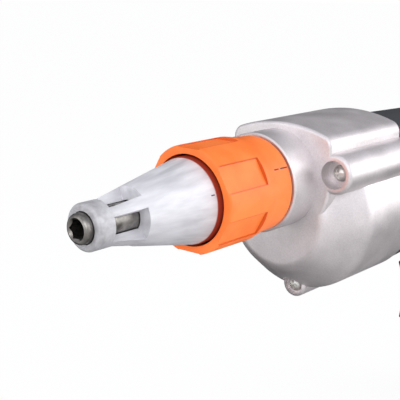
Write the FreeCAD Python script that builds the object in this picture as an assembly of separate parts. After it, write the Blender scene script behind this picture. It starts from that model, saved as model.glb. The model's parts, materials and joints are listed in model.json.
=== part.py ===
import FreeCAD, Part
import math
import os

# Drywall screwdriver in millimetres: X forward out of the nose, Y to the tool's left, Z up,
# origin on the spindle line at the mouth of the bit holder

Vec = FreeCAD.Vector
forward = Vec(1, 0, 0)
leftward = Vec(0, 1, 0)
upward = Vec(0, 0, 1)

# Fits
run_gap = 0.05
seat_gap = 0.3
cut_over = 3.0

# Bit holder, its magnet and the ball that keeps it in the spindle
holder_reach = 3.0
holder_radius = 5.25
holder_length = 46.0
holder_lip = 1.4
socket_flats = 6.4
socket_depth = 13.0
socket_mouth_radius = 3.95
socket_mouth_depth = 0.9
shank_flats = 6.3
shank_length = 20.0
magnet_radius = 2.6
magnet_length = 4.0
ball_radius = 1.5
ball_back = 8.0
ball_groove_depth = 0.85
clip_thickness = 0.9
clip_width = 2.6
clip_span = 300.0

# Nose with its windows and O-ring
nose_show = 50.0
nose_insert = 10.5
nose_tip_radius = 8.2
nose_tip_length = 8.9
nose_lip = 1.2
nose_skirt_radius = 16.2
nose_bore_gap = 0.35
nose_bore_length = 24.0
nose_wall = 2.6
window_front = 6.9
window_length = 13.5
window_span = 64.0
window_turn = -6.0
window_count = 4
o_ring_radius = 1.1
o_ring_inset = 4.0

# Depth ring with its finger pads
ring_length = 38.3
ring_radius = 20.3
ring_edge = 1.0
ring_mouth_gap = 0.85
ring_body_length = 23.0
ring_taper_length = 6.0
ring_band_radius = 19.3
ring_rear_radius = 18.8
ring_rear_edge = 0.4
pad_count = 6
pad_turn = 30.0
pad_depth = 1.2
pad_width = 10.6
pad_length = 22.0

# Neck and collar of the gear case
neck_gap = 2.5
neck_step = 0.8
neck_thread_gap = 0.3
collar_gap = 0.6
collar_radius = 19.82
collar_length = 14.6
collar_edge = 0.6

# Spindle, its bush, seal and thrust washer
spindle_radius = 6.5
bush_wall = 2.5
seal_length = 4.0
front_wall = 5.0
washer_thickness = 1.5
flange_radius = 11.0
flange_length = 5.5
jaw_count = 3
jaw_span = 50.0
jaw_height = 2.5
jaw_width = 3.4
clutch_gap = 3.0
jaw_bite = 1.5
pin_radius = 3.0
pin_reach = 8.0

# Clutch spring
clutch_coil_radius = 4.4
clutch_wire_radius = 0.55
clutch_coil_turns = 3

# Gear and pinion
gear_module = 0.7
gear_teeth = 36
pinion_teeth = 9
tooth_shift_share = 0.45
tooth_root_share = 1.25
pressure_angle = 20.0
tooth_backlash = 0.06
flank_steps = 3
gear_width = 10.0
gear_room = 2.5
pinion_overlap = 0.5
pinion_room = 3.0
gear_washer_thickness = 1.2
gear_washer_radius = 8.0

# Bearings
front_bearing_radius = 9.5
front_bearing_width = 7.0
front_bearing_lip = 2.5
rear_bearing_radius = 8.0
rear_bearing_width = 5.0
bearing_ball_share = 0.27
bearing_land_share = 0.5
bearing_balls = 7
bearing_lip_step = 2.0

# Gear case casting
plate_land = 3.0
plate_wall = 4.0
block_top = 22.8
block_crown_radius = 62.0
block_half_width = 24.0
block_shift = 1.5
block_corner = 5.0
block_edge = 1.4
block_rear_edge = 2.5
case_radius = 35.0
dome_proud = 0.1
dome_face_radius = 23.0
dome_depth = 16.7
dome_edge = 6.0
dome_shoulder = 8.0
ear_side = 27.0
ear_height = 4.5
ear_radius = 8.0
ear_edge = 1.6
ear_pocket_radius = 5.6
ear_pocket_depth = 5.5
foot_ear_drop = 49.0
foot_ear_radius = 5.6
foot_pocket_radius = 4.3
foot_pocket_depth = 15.5
foot_ear_depth = 13.5
relief_inner_radius = 19.0
case_wall = 4.0
relief_depth = 17.0
relief_wall = 3.0

# Case screws
case_screw_radius = 2.0
case_screw_hole_gap = 0.25
case_screw_head_radius = 3.4
case_screw_head_height = 2.5
case_screw_bite = 14.0
cross_width = 1.1
cross_length = 4.0
cross_depth = 1.4

# Motor
shaft_radius = 3.5
rear_shaft_radius = 2.5
fan_gap = 2.5
fan_length = 10.0
fan_radius = 24.0
fan_hub_radius = 8.0
fan_disc = 2.0
fan_blade = 1.6
fan_blade_count = 9
fan_blade_inner = 11.0
baffle_gap = 1.5
baffle_thickness = 2.0
baffle_room = 4.0
baffle_cover = 4.0
baffle_lip = 1.5
baffle_rib = 1.0
coil_gap = 1.0
coil_overhang = 7.0
coil_inset = 0.8
coil_side_span = 4.0
stator_radius = 27.0
stator_yoke = 5.0
stator_length = 32.0
pole_span = 116.0
air_gap = 0.5
armature_radius = 15.5
armature_slots = 12
armature_slot_width = 1.8
armature_slot_depth = 6.0
winding_length = 6.0
winding_inset = 1.5
winding_round = 3.0
commutator_gap = 2.5
commutator_length = 11.0
commutator_radius = 10.0
commutator_riser = 1.6
commutator_riser_length = 2.0
rear_bearing_gap = 3.0

# Brushes
brush_width = 5.0
brush_height = 7.0
brush_length = 8.0
brush_holder_wall = 1.0
brush_holder_gap = 1.0
brush_holder_length = 17.0
brush_spring_turns = 4
brush_spring_wire = 0.35
brush_spring_radius = 1.9
brush_pad_length = 7.0
brush_pad_depth = 9.0

# Housing shell
shell_wall = 3.0
barrel_front_radius = 34.5
barrel_radius = 32.6
barrel_bend = 17.0
barrel_back_room = 7.0
crotch_drop = 4.5
crotch_room = 5.0
grip_tilt = 12.0
grip_length = 104.0
grip_depth = 42.0
grip_width = 35.0
grip_base = 3.5
grip_place_shares = [-0.42, -0.26, -0.1, 0.08, 0.33, 0.62, 0.88, 1.0]
grip_depth_shares = [0.5, 0.88, 1.06, 1.1, 1.0, 0.97, 1.04, 1.18]
grip_width_shares = [0.5, 0.9, 1.05, 1.06, 1.0, 0.97, 1.01, 1.09]
grip_front_shares = [1.6, 1.2, 1.0, 0.9, 0.8, 0.8, 0.7, 0.3]
rib_width = 4.0
rib_inset = 5.0
boss_radius = 4.5
boss_length = 16.0
boss_taper = 7.0
boss_tip_radius = 2.5

# Air slots
slot_height = 2.4
slot_pitch = 5.2
front_slot_count = 5
front_slot_length = 8.0
front_slot_rise = -12.0
front_slot_reach = 5.0
rear_slot_count = 3
rear_slot_length = 15.0
rear_slot_rise = 10.0
rear_slot_inner = 18.0

# Housing screws, placed by their share of the grip's length down and depth back
screw_radius = 1.6
screw_hole_gap = 0.15
screw_head_radius = 3.0
screw_head_height = 2.2
screw_seat = 8.0
screw_length = 18.0
screw_pocket_gap = 0.6
screw_post_radius = 4.2
screw_down_shares = [-0.563, -0.1, 0.47, 0.94, 0.94, 0.6]
screw_back_shares = [0.407, 0.9, 0.24, 0.22, 1.0, 0.88]

# Switch, trigger, lever and lock button, in the grip's own lines
switch_front = 18.0
switch_depth = 18.0
switch_width = 22.0
switch_top = 9.0
switch_length = 38.0
switch_rib = 2.5
switch_rib_inset = 6.0
trigger_top = 12.0
trigger_length = 31.0
trigger_width = 15.0
trigger_top_reach = 5.5
trigger_foot_reach = 8.5
trigger_hollow = 3.4
trigger_back = 10.0
trigger_edge = 2.0
trigger_gap = 0.4
trigger_travel = 7.0
trigger_stem_radius = 3.0
trigger_stem_length = 14.0
trigger_coil_radius = 4.3
trigger_wire_radius = 0.45
trigger_coil_turns = 4
lever_thickness = 4.0
lever_width = 7.0
lever_reach = 5.0
lever_pivot_back = 22.0
lever_pivot_radius = 3.0
lever_pivot_depth = 4.0
lever_tail_radius = 6.0
lever_slot_gap = 0.5
lever_swing = 12.0
lock_back = 24.0
lock_down = 17.5
lock_radius = 5.0
lock_hole_gap = 0.3
lock_proud = 4.2
lock_travel = 3.0
lock_cap_length = 6.5
lock_stem_radius = 2.5
lock_stem_length = 9.0
lock_edge = 0.9

# Rubber grip
rubber_proud = 0.5
rubber_sunk = 1.0
rubber_top = 6.0
rubber_foot = 14.0
rubber_front_share = 0.72
rubber_bow = 5.0

# Capacitor, cord clamp and cord inlet
capacitor_down = 54.0
capacitor_depth = 12.0
capacitor_width = 16.0
capacitor_length = 17.0
capacitor_back = 22.0
clamp_down = 88.0
clamp_thickness = 7.5
clamp_length = 26.0
clamp_height = 7.0
clamp_groove_radius = 4.5
clamp_boss_radius = 3.4
clamp_boss_spread = 9.0
clamp_screw_radius = 1.4
clamp_screw_bite = 8.0
clamp_head_radius = 2.6
clamp_head_height = 1.8
inlet_back = 24.0
inlet_bore_radius = 4.2
inlet_wall = 2.8
inlet_length = 14.0
inlet_flange = 2.2
inlet_flange_height = 2.5
inlet_groove = 1.0

# Stations on the spindle line, front to rear
nose_front = -holder_reach
ring_front = nose_front - nose_show
ring_rear = ring_front - ring_length
nose_rear = ring_front - nose_insert
ring_shoulder = nose_rear - seat_gap
neck_front = nose_rear - neck_gap
collar_front = ring_rear - collar_gap
case_face = collar_front - collar_length
cavity_front = case_face - front_wall
washer_front = cavity_front - seat_gap
flange_front = washer_front - washer_thickness - seat_gap
flange_rear = flange_front - flange_length
jaw_tip = flange_rear - jaw_height
gear_jaw_tip = jaw_tip - clutch_gap
gear_front = gear_jaw_tip - jaw_height
gear_rear = gear_front - gear_width
gear_washer_front = gear_rear - seat_gap
plate_front = gear_washer_front - gear_washer_thickness - run_gap
front_bearing_front = plate_front - front_bearing_lip
plate_rear = front_bearing_front - front_bearing_width
spindle_front = -holder_length
spindle_travel = clutch_gap + jaw_bite

# Radii that fit around one another
ring_bore = nose_skirt_radius + ring_mouth_gap
neck_radius = nose_skirt_radius - neck_step
bush_radius = spindle_radius + bush_wall
pinion_pitch = gear_module * pinion_teeth / 2
gear_pitch = gear_module * gear_teeth / 2
motor_z = -(gear_pitch + pinion_pitch)
gear_tip = gear_pitch + gear_module * (1 - tooth_shift_share)
pinion_tip = pinion_pitch + gear_module * (1 + tooth_shift_share)
cavity_radius = gear_tip + gear_room
plate_top_radius = cavity_radius + plate_land
plate_foot_radius = front_bearing_radius + plate_wall
stator_bore = armature_radius + air_gap

# Stations on the motor line
fan_front = plate_rear - fan_gap
fan_rear = fan_front - fan_length
case_rear = fan_rear
baffle_front = fan_rear - baffle_gap
baffle_rear = baffle_front - baffle_thickness
stator_front = baffle_rear - coil_gap - coil_overhang
stator_rear = stator_front - stator_length
commutator_front = stator_rear - winding_length - commutator_gap
commutator_rear = commutator_front - commutator_length
brush_x = commutator_front - commutator_riser_length - (commutator_length - commutator_riser_length) / 2
rear_bearing_front = commutator_rear - rear_bearing_gap
rear_bearing_rear = rear_bearing_front - rear_bearing_width

# Cuts and ribs run this far to each side, past the widest wall
side_reach = max(case_radius, barrel_front_radius, barrel_radius)

# The fan chamber, its slots and the baffle follow the walls around them
relief_outer_radius = case_radius - case_wall
front_slot_inner = relief_outer_radius - front_slot_reach
baffle_radius = barrel_front_radius - shell_wall - baffle_room

# The grip hangs from the crotch, where barrel and grip meet below
crotch = Vec(rear_bearing_front, 0, motor_z - barrel_radius - crotch_drop)


def peg(radius, length, start, way):
    return Part.makeCylinder(radius, length, start, way)


def rod(radius, rear, front, y=0, z=0):
    return peg(radius, front - rear, Vec(rear, y, z), forward)


def collar(outer, inner, rear, front, y=0, z=0):
    return rod(outer, rear, front, y, z).cut(rod(inner, rear - cut_over, front + cut_over, y, z))


def block(x_range, y_range, z_range):
    size = [span[1] - span[0] for span in (x_range, y_range, z_range)]
    return Part.makeBox(*size, Vec(x_range[0], y_range[0], z_range[0]))


def line(start, end):
    return Part.LineSegment(start, end).toShape()


def arc(start, middle, end):
    return Part.Arc(start, middle, end).toShape()


def turned(edges, z=0):
    face = Part.Face(Part.Wire(edges))
    return face.revolve(Vec(0, 0, z), forward, 360)


def turned_outline(points, z=0):
    corners = [Vec(x, 0, z + radius) for x, radius in points]
    return turned(Part.makePolygon(corners + corners[:1]).Edges, z)


def sector(inner, outer, rear, front, centre, span, z=0):
    corners = [Vec(rear, inner, z), Vec(rear, outer, z), Vec(front, outer, z), Vec(front, inner, z)]
    face = Part.Face(Part.makePolygon(corners + corners[:1]))
    solid = face.revolve(Vec(0, 0, z), forward, span)
    solid.rotate(Vec(0, 0, z), forward, centre - span / 2)
    return solid


def around(solid, count, z=0):
    copies = []
    for index in range(count):
        copy = solid.copy()
        copy.rotate(Vec(0, 0, z), forward, 360 * index / count)
        copies.append(copy)
    return copies


def hexagon(flats, rear, front):
    corner = flats / math.sqrt(3)
    points = []
    for index in range(6):
        angle = math.radians(60 * index)
        points.append(Vec(rear, corner * math.cos(angle), corner * math.sin(angle)))
    return Part.Face(Part.makePolygon(points + points[:1])).extrude(forward * (front - rear))


def coil(place, radius, wire_radius, turns, length):
    steps = 4 * turns

    def point(quarter):
        angle = math.pi / 2 * quarter
        return Vec(radius * math.cos(angle), radius * math.sin(angle), length * quarter / steps)

    edges = [arc(point(step), point(step + 0.5), point(step + 1)) for step in range(steps)]
    path = Part.Wire(edges)
    tangent = edges[0].tangentAt(edges[0].FirstParameter)
    section = Part.Wire([Part.makeCircle(wire_radius, point(0), tangent)])
    spring = path.makePipeShell([section], True, False)
    spring.Placement = place
    return spring


def on_grip(shape):
    shape.rotate(Vec(0, 0, 0), leftward, grip_tilt)
    shape.translate(crotch)
    return shape


def edges_at(shape, keep):
    return [edge for edge in shape.Edges if keep(edge.BoundBox)]


def near(value, target):
    return abs(value - target) < run_gap


# Bit holder and nose


def bit_holder():
    lip_centre = Vec(-holder_lip, 0, holder_radius - holder_lip)
    lip_middle = lip_centre + Vec(1, 0, 1).normalize() * holder_lip
    top = [
        Vec(-holder_length, 0, 0),
        Vec(-holder_length, 0, holder_radius),
        Vec(-holder_lip, 0, holder_radius),
        Vec(0, 0, holder_radius - holder_lip),
        Vec(0, 0, 0),
    ]
    edges = [line(top[0], top[1]), line(top[1], top[2]), arc(top[2], lip_middle, top[3])]
    edges += [line(top[3], top[4]), line(top[4], top[0])]
    body = turned(edges)
    floor = -socket_depth - magnet_length - seat_gap
    body = body.fuse(hexagon(shank_flats, spindle_front - shank_length, spindle_front))
    body = body.cut(hexagon(socket_flats, -socket_depth, cut_over))
    body = body.cut(rod(magnet_radius + run_gap, floor, -socket_depth + cut_over))
    mouth = [
        (0, 0),
        (0, socket_mouth_radius),
        (-socket_mouth_depth, socket_flats / 2),
        (-socket_mouth_depth, 0),
    ]
    body = body.cut(turned_outline(mouth))
    ball_x = spindle_front - ball_back
    groove = shank_flats / 2 - ball_groove_depth
    groove_half = ball_radius + run_gap
    return body.cut(collar(holder_radius, groove, ball_x - groove_half, ball_x + groove_half))


def bit_magnet():
    return rod(magnet_radius, -socket_depth - magnet_length, -socket_depth)


def holder_ball():
    height = shank_flats / 2 - ball_groove_depth + ball_radius + run_gap
    return Part.makeSphere(ball_radius, Vec(spindle_front - ball_back, 0, height))


def clip_radius():
    return shank_flats / 2 - ball_groove_depth + 2 * ball_radius + 2 * run_gap


def holder_clip():
    middle = spindle_front - ball_back
    half = clip_width / 2
    inner = clip_radius()
    return sector(inner, inner + clip_thickness, middle - half, middle + half, 90, clip_span)


def nose_locator():
    cone_start = nose_front - nose_tip_length
    lip_centre = Vec(nose_front - nose_lip, 0, nose_tip_radius - nose_lip)
    lip_middle = lip_centre + Vec(1, 0, 1).normalize() * nose_lip
    bore = holder_radius + nose_bore_gap
    bore_end = nose_front - nose_bore_length
    hollow = nose_skirt_radius - nose_wall
    groove = ring_bore - 2 * run_gap - 2 * o_ring_radius - run_gap
    points = [
        Vec(nose_front, 0, bore),
        Vec(nose_front, 0, nose_tip_radius - nose_lip),
        Vec(nose_front - nose_lip, 0, nose_tip_radius),
        Vec(cone_start, 0, nose_tip_radius),
        Vec(ring_front, 0, nose_skirt_radius),
        Vec(nose_rear, 0, nose_skirt_radius),
        Vec(nose_rear, 0, hollow),
        Vec(ring_front, 0, hollow),
        Vec(bore_end, 0, bore),
    ]
    edges = [line(points[0], points[1]), arc(points[1], lip_middle, points[2])]
    for start, end in zip(points[2:], points[3:] + points[:1]):
        edges.append(line(start, end))
    body = turned(edges)
    rear = nose_front - window_front - window_length
    window = sector(0, nose_skirt_radius, rear, nose_front - window_front, window_turn, window_span)
    ring_x = nose_rear + o_ring_inset
    half = o_ring_radius + run_gap
    groove_cut = collar(ring_bore, groove, ring_x - half, ring_x + half)
    return body.cut(around(window, window_count) + [groove_cut])


def nose_o_ring():
    middle = ring_bore - 2 * run_gap - o_ring_radius
    return Part.makeTorus(middle, o_ring_radius, Vec(nose_rear + o_ring_inset, 0, 0), forward)


def depth_ring():
    taper_start = ring_front - ring_body_length
    taper_end = taper_start - ring_taper_length
    thread = neck_radius + neck_thread_gap
    edge_centre = Vec(ring_front - ring_edge, 0, ring_radius - ring_edge)
    edge_middle = edge_centre + Vec(1, 0, 1).normalize() * ring_edge
    points = [
        Vec(ring_front, 0, ring_bore),
        Vec(ring_front, 0, ring_radius - ring_edge),
        Vec(ring_front - ring_edge, 0, ring_radius),
        Vec(taper_start, 0, ring_radius),
        Vec(taper_end, 0, ring_band_radius),
        Vec(ring_rear + ring_rear_edge, 0, ring_rear_radius),
        Vec(ring_rear, 0, ring_rear_radius - ring_rear_edge),
        Vec(ring_rear, 0, thread),
        Vec(ring_shoulder, 0, thread),
        Vec(ring_shoulder, 0, ring_bore),
    ]
    edges = [line(points[0], points[1]), arc(points[1], edge_middle, points[2])]
    for start, end in zip(points[2:], points[3:] + points[:1]):
        edges.append(line(start, end))
    body = turned(edges)
    floor = ring_radius - pad_depth
    half = pad_width / 2
    x_range = (ring_front - pad_length, ring_front + cut_over)
    pad = block(x_range, (-half, half), (floor, ring_radius + cut_over))
    pad.rotate(Vec(0, 0, 0), forward, pad_turn - 90)
    return body.cut(around(pad, pad_count))


# Spindle and clutch


def spindle_bush():
    return collar(bush_radius - run_gap, spindle_radius + run_gap, cavity_front, neck_front - seal_length)


def spindle_seal():
    return collar(bush_radius - run_gap, spindle_radius + 2 * run_gap, neck_front - seal_length, neck_front)


def thrust_washer():
    rear = washer_front - washer_thickness
    return collar(flange_radius, spindle_radius + seat_gap, rear, washer_front)


def jaws(rear, front, centre):
    jaw = sector(flange_radius - jaw_width, flange_radius, rear, front, centre, jaw_span)
    return around(jaw, jaw_count)


def spindle():
    body = rod(spindle_radius, flange_rear, spindle_front)
    body = body.fuse(rod(flange_radius, flange_rear, flange_front))
    body = body.fuse(jaws(jaw_tip, flange_rear + run_gap, 90))
    shank_end = spindle_front - shank_length - seat_gap
    body = body.cut(hexagon(shank_flats + 2 * run_gap, shank_end, spindle_front))
    pin_end = flange_front + pin_reach + spindle_travel + seat_gap
    body = body.cut(rod(pin_radius + run_gap, jaw_tip - cut_over, pin_end))
    middle = spindle_front - ball_back
    half = clip_width / 2 + run_gap
    inner = clip_radius() - run_gap
    body = body.cut(collar(spindle_radius + cut_over, inner, middle - half, middle + half))
    hole = peg(ball_radius + run_gap, spindle_radius, Vec(middle, 0, 0), upward)
    return body.cut(hole)


def gear_pin():
    return rod(pin_radius, plate_rear, flange_front + pin_reach)


def gear_face(teeth, shift, first_tooth, x, z):
    pitch = gear_module * teeth / 2
    base = pitch * math.cos(math.radians(pressure_angle))
    root = pitch - gear_module * (tooth_root_share - shift)
    tip = pitch + gear_module * (1 + shift)
    pressure = math.radians(pressure_angle)
    half_tooth = math.pi / (2 * teeth) + 2 * shift * math.tan(pressure) / teeth
    half_tooth -= tooth_backlash / (2 * pitch)
    start = max(root, base)

    def half_angle(radius):
        local = math.acos(base / radius)
        return half_tooth + math.tan(pressure) - pressure - (math.tan(local) - local)

    radii = [start + (tip - start) * step / flank_steps for step in range(flank_steps + 1)]
    flank = [(radius, half_angle(radius)) for radius in radii]
    if root < base:
        flank.insert(0, (root, half_angle(base)))
    points = []
    for index in range(teeth):
        centre = math.radians(first_tooth) + 2 * math.pi * index / teeth
        for radius, angle in flank:
            points.append((radius, centre - angle))
        for radius, angle in reversed(flank):
            points.append((radius, centre + angle))
    corners = [Vec(x, r * math.cos(a), z + r * math.sin(a)) for r, a in points]
    return Part.Face(Part.makePolygon(corners + corners[:1]))


def drive_gear():
    face = gear_face(gear_teeth, -tooth_shift_share, -90 + 180 / gear_teeth, gear_rear, 0)
    body = face.extrude(forward * gear_width)
    body = body.fuse(jaws(gear_front - run_gap, gear_jaw_tip, 90 + 180 / jaw_count))
    return body.cut(rod(pin_radius + run_gap, gear_rear - cut_over, gear_jaw_tip + cut_over))


def clutch_spring():
    length = flange_rear - gear_front - 2 * clutch_wire_radius - 2 * run_gap
    start = gear_front + clutch_wire_radius + run_gap
    place = FreeCAD.Placement(Vec(start, 0, 0), FreeCAD.Rotation(upward, forward))
    return coil(place, clutch_coil_radius, clutch_wire_radius, clutch_coil_turns, length)


def gear_washer():
    rear = gear_washer_front - gear_washer_thickness
    return collar(gear_washer_radius, pin_radius + run_gap, rear, gear_washer_front)


# Gear case


def plate_outline(grow, rear, front):
    top = rod(plate_top_radius + grow, rear, front)
    return top.fuse(rod(plate_foot_radius + grow, rear, front, 0, motor_z))


def bearing_plate():
    body = plate_outline(0, plate_rear, plate_front)
    seat = rod(front_bearing_radius + run_gap, plate_rear - cut_over, front_bearing_front, 0, motor_z)
    way = rod(front_bearing_radius - bearing_lip_step, plate_rear, plate_front + cut_over, 0, motor_z)
    return body.cut([seat, way, rod(pin_radius + run_gap, plate_rear - cut_over, plate_front + cut_over)])


def case_block():
    side = block_half_width
    inset = side - block_corner
    crown_z = block_top - block_crown_radius
    reach = block_crown_radius - block_corner
    lean = math.asin(inset / reach)
    corner_z = crown_z + reach * math.cos(lean)
    crown_y = block_crown_radius * math.sin(lean)
    crown_end = crown_z + block_crown_radius * math.cos(lean)
    half_turn = (lean + math.pi / 2) / 2
    middle_y = inset + block_corner * math.sin(half_turn)
    middle_z = corner_z + block_corner * math.cos(half_turn)

    def point(y, z):
        return Vec(case_rear, block_shift + y, z)

    edges = [
        line(point(side, 0), point(side, corner_z)),
        arc(point(side, corner_z), point(middle_y, middle_z), point(crown_y, crown_end)),
        arc(point(crown_y, crown_end), point(0, block_top), point(-crown_y, crown_end)),
        arc(point(-crown_y, crown_end), point(-middle_y, middle_z), point(-side, corner_z)),
        line(point(-side, corner_z), point(-side, 0)),
        arc(point(-side, 0), point(0, -side), point(side, 0)),
    ]
    body = Part.Face(Part.Wire(edges)).extrude(forward * (case_face - case_rear))
    body = body.makeFillet(block_edge, edges_at(body, lambda box: near(box.XMin, case_face)))
    return body.makeFillet(block_rear_edge, edges_at(body, lambda box: near(box.XMax, case_rear)))


def case_dome():
    face = case_face + dome_proud
    shoulder = face - dome_depth
    points = [
        (face, 0),
        (face, dome_face_radius),
        (shoulder, case_radius),
        (case_rear, case_radius),
        (case_rear, 0),
    ]
    body = turned_outline(points, motor_z)
    body = body.makeFillet(dome_edge, edges_at(body, lambda box: near(box.XMin, face)))
    rims = edges_at(body, lambda box: near(box.XMin, shoulder) and near(box.XMax, shoulder))
    return body.makeFillet(dome_shoulder, rims)


def screw_places():
    side_seat = case_face - ear_pocket_depth
    foot_seat = case_face - foot_pocket_depth
    return [
        (side_seat, ear_side, ear_height, ear_pocket_radius),
        (side_seat, -ear_side, ear_height, ear_pocket_radius),
        (foot_seat, 0, -foot_ear_drop, foot_pocket_radius),
    ]


def case_ears():
    ears = []
    for side in (ear_side, -ear_side):
        ear = rod(ear_radius, case_rear, case_face, side, ear_height)
        ears.append(ear.makeFillet(ear_edge, edges_at(ear, lambda box: near(box.XMin, case_face))))
    foot_front = case_face - foot_ear_depth
    foot = rod(foot_ear_radius, case_rear, foot_front, 0, -foot_ear_drop)
    ears.append(foot.makeFillet(ear_edge, edges_at(foot, lambda box: near(box.XMin, foot_front))))
    return ears


def case_relief():
    front = plate_rear + relief_depth
    ring = collar(relief_outer_radius, relief_inner_radius, plate_rear - cut_over, front, 0, motor_z)
    plate_wall_keep = rod(plate_top_radius + relief_wall, plate_rear, front + cut_over)
    chamber = rod(relief_outer_radius, case_rear - cut_over, plate_rear, 0, motor_z)
    sleeves = []
    for seat, y, z, pocket in screw_places():
        sleeves.append(rod(case_screw_radius + relief_wall, case_rear - cut_over, front + cut_over, y, z))
    return ring.cut(plate_wall_keep).fuse(chamber).cut(sleeves)


def gear_case():
    edge = collar_radius - collar_edge
    collar_points = [
        (case_face - block_edge, 0),
        (case_face - block_edge, collar_radius),
        (collar_front - collar_edge, collar_radius),
        (collar_front, edge),
        (collar_front, neck_radius),
        (neck_front, neck_radius),
        (neck_front, 0),
    ]
    body = case_block().fuse(case_dome())
    body = body.fuse(turned_outline(collar_points)).fuse(case_ears())
    cuts = [
        rod(bush_radius, cavity_front - cut_over, neck_front + cut_over),
        rod(cavity_radius, plate_front - cut_over, cavity_front),
        rod(pinion_tip + pinion_room, plate_front - cut_over, gear_front + pinion_room, 0, motor_z),
        plate_outline(run_gap, case_rear - cut_over, plate_front),
        case_relief(),
    ]
    slot_rear = fan_front - front_slot_length
    cuts += slot_row(front_slot_count, front_slot_rise, slot_rear, front_slot_length, front_slot_inner)
    for seat, y, z, pocket in screw_places():
        cuts.append(rod(pocket, seat, case_face + cut_over, y, z))
        hole = case_screw_radius + case_screw_hole_gap
        cuts.append(rod(hole, case_rear - cut_over, seat + cut_over, y, z))
    return body.cut(cuts).removeSplitter()


def case_screw_length():
    return case_face - ear_pocket_depth - case_rear + case_screw_bite


def pan_screw(radius, length, head_radius, head_height):
    bend = (head_radius ** 2 + head_height ** 2) / (2 * head_height)
    half_turn = math.asin(head_radius / bend) / 2
    middle = Vec(head_height - bend * (1 - math.cos(half_turn)), 0, bend * math.sin(half_turn))
    points = [Vec(-length, 0, 0), Vec(-length, 0, radius), Vec(0, 0, radius), Vec(0, 0, head_radius)]
    top = Vec(head_height, 0, 0)
    edges = [line(start, end) for start, end in zip(points, points[1:])]
    edges += [arc(points[3], middle, top), line(top, points[0])]
    screw = turned(edges)
    scale = head_radius / case_screw_head_radius
    half_slot = cross_width * scale / 2
    half_cross = cross_length * scale / 2
    x_range = (head_height - cross_depth * scale, head_height + cut_over)
    flat = block(x_range, (-half_cross, half_cross), (-half_slot, half_slot))
    tall = block(x_range, (-half_slot, half_slot), (-half_cross, half_cross))
    return screw.cut([flat, tall])


def case_screws():
    screws = []
    length = case_screw_length()
    for seat, y, z, pocket in screw_places():
        screw = pan_screw(case_screw_radius, length, case_screw_head_radius, case_screw_head_height)
        screw.translate(Vec(seat, y, z))
        screws.append(screw)
    return Part.makeCompound(screws)


# Motor


def bearing(front, width, outer, bore):
    pitch = (outer + bore) / 2
    ball = (outer - bore) * bearing_ball_share
    land = ball * bearing_land_share
    middle = front - width / 2
    track = Part.makeTorus(pitch, ball + run_gap, Vec(middle, 0, motor_z), forward)
    outer_ring = collar(outer, pitch + land, front - width, front, 0, motor_z).cut(track)
    inner_ring = collar(pitch - land, bore, front - width, front, 0, motor_z).cut(track)
    first = Part.makeSphere(ball, Vec(middle, 0, motor_z + pitch))
    return outer_ring, inner_ring, Part.makeCompound(around(first, bearing_balls, motor_z))


def armature_shaft():
    face = gear_face(pinion_teeth, tooth_shift_share, 90, gear_rear - pinion_overlap, motor_z)
    body = face.extrude(forward * (gear_width + 2 * pinion_overlap))
    body = body.fuse(rod(shaft_radius, rear_bearing_front, gear_rear - pinion_overlap, 0, motor_z))
    return body.fuse(rod(rear_shaft_radius, rear_bearing_rear + run_gap, rear_bearing_front, 0, motor_z))


def armature_core():
    body = collar(armature_radius, shaft_radius, stator_rear, stator_front, 0, motor_z)
    half = armature_slot_width / 2
    floor = armature_radius - armature_slot_depth
    x_range = (stator_rear - cut_over, stator_front + cut_over)
    slot = block(x_range, (-half, half), (motor_z + floor, motor_z + armature_radius + cut_over))
    return body.cut(around(slot, armature_slots, motor_z))


def armature_windings():
    outer = armature_radius - winding_inset
    bells = []
    for near_x, way in ((stator_front, 1), (stator_rear, -1)):
        far_x = near_x + way * winding_length
        inset = -way * winding_round
        points = [
            (near_x, shaft_radius),
            (near_x, outer),
            (far_x + inset, outer),
            (far_x, outer - winding_round),
            (far_x, shaft_radius),
        ]
        bells.append(turned_outline(points, motor_z))
    return Part.makeCompound(bells)


def commutator():
    riser_rear = commutator_front - commutator_riser_length
    points = [
        (commutator_front, shaft_radius),
        (commutator_front, commutator_radius + commutator_riser),
        (riser_rear, commutator_radius + commutator_riser),
        (riser_rear, commutator_radius),
        (commutator_rear, commutator_radius),
        (commutator_rear, shaft_radius),
    ]
    return turned_outline(points, motor_z)


def motor_fan():
    hub = collar(fan_hub_radius, shaft_radius, fan_rear, fan_front, 0, motor_z)
    disc = collar(fan_radius, shaft_radius, fan_front - fan_disc, fan_front, 0, motor_z)
    half = fan_blade / 2
    z_range = (motor_z + fan_blade_inner, motor_z + fan_radius)
    blade = block((fan_rear, fan_front), (-half, half), z_range)
    return hub.fuse([disc] + around(blade, fan_blade_count, motor_z)).removeSplitter()


def fan_baffle():
    return collar(baffle_radius, fan_radius - baffle_cover, baffle_rear, baffle_front, 0, motor_z)


def field_core():
    body = collar(stator_radius, stator_radius - stator_yoke, stator_rear, stator_front, 0, motor_z)
    yoke = stator_radius - stator_yoke / 2
    poles = []
    for side in (90, 270):
        poles.append(sector(stator_bore, yoke, stator_rear, stator_front, side, pole_span, motor_z))
    return body.fuse(poles).removeSplitter()


def field_coils():
    inner = stator_bore + coil_inset
    outer = stator_radius - stator_yoke - coil_inset
    ends = [(stator_front, stator_front + coil_overhang), (stator_rear - coil_overhang, stator_rear)]
    coil_span = 180 - 2 * coil_side_span
    leg_span = (coil_span - pole_span) / 2 - coil_side_span
    leg_centre = (coil_span - leg_span) / 2
    coils = []
    for side in (90, 270):
        solids = [sector(inner, outer, rear, front, side, coil_span, motor_z) for rear, front in ends]
        for leg in (side - leg_centre, side + leg_centre):
            solids.append(sector(inner, outer, stator_rear, stator_front, leg, leg_span, motor_z))
        coils.append(solids[0].fuse(solids[1:]).removeSplitter())
    return Part.makeCompound(coils)


# Brushes: each part is made on the left and mirrored to the right


def both_sides(solid):
    return Part.makeCompound([solid, solid.mirror(Vec(0, 0, 0), leftward)])


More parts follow.
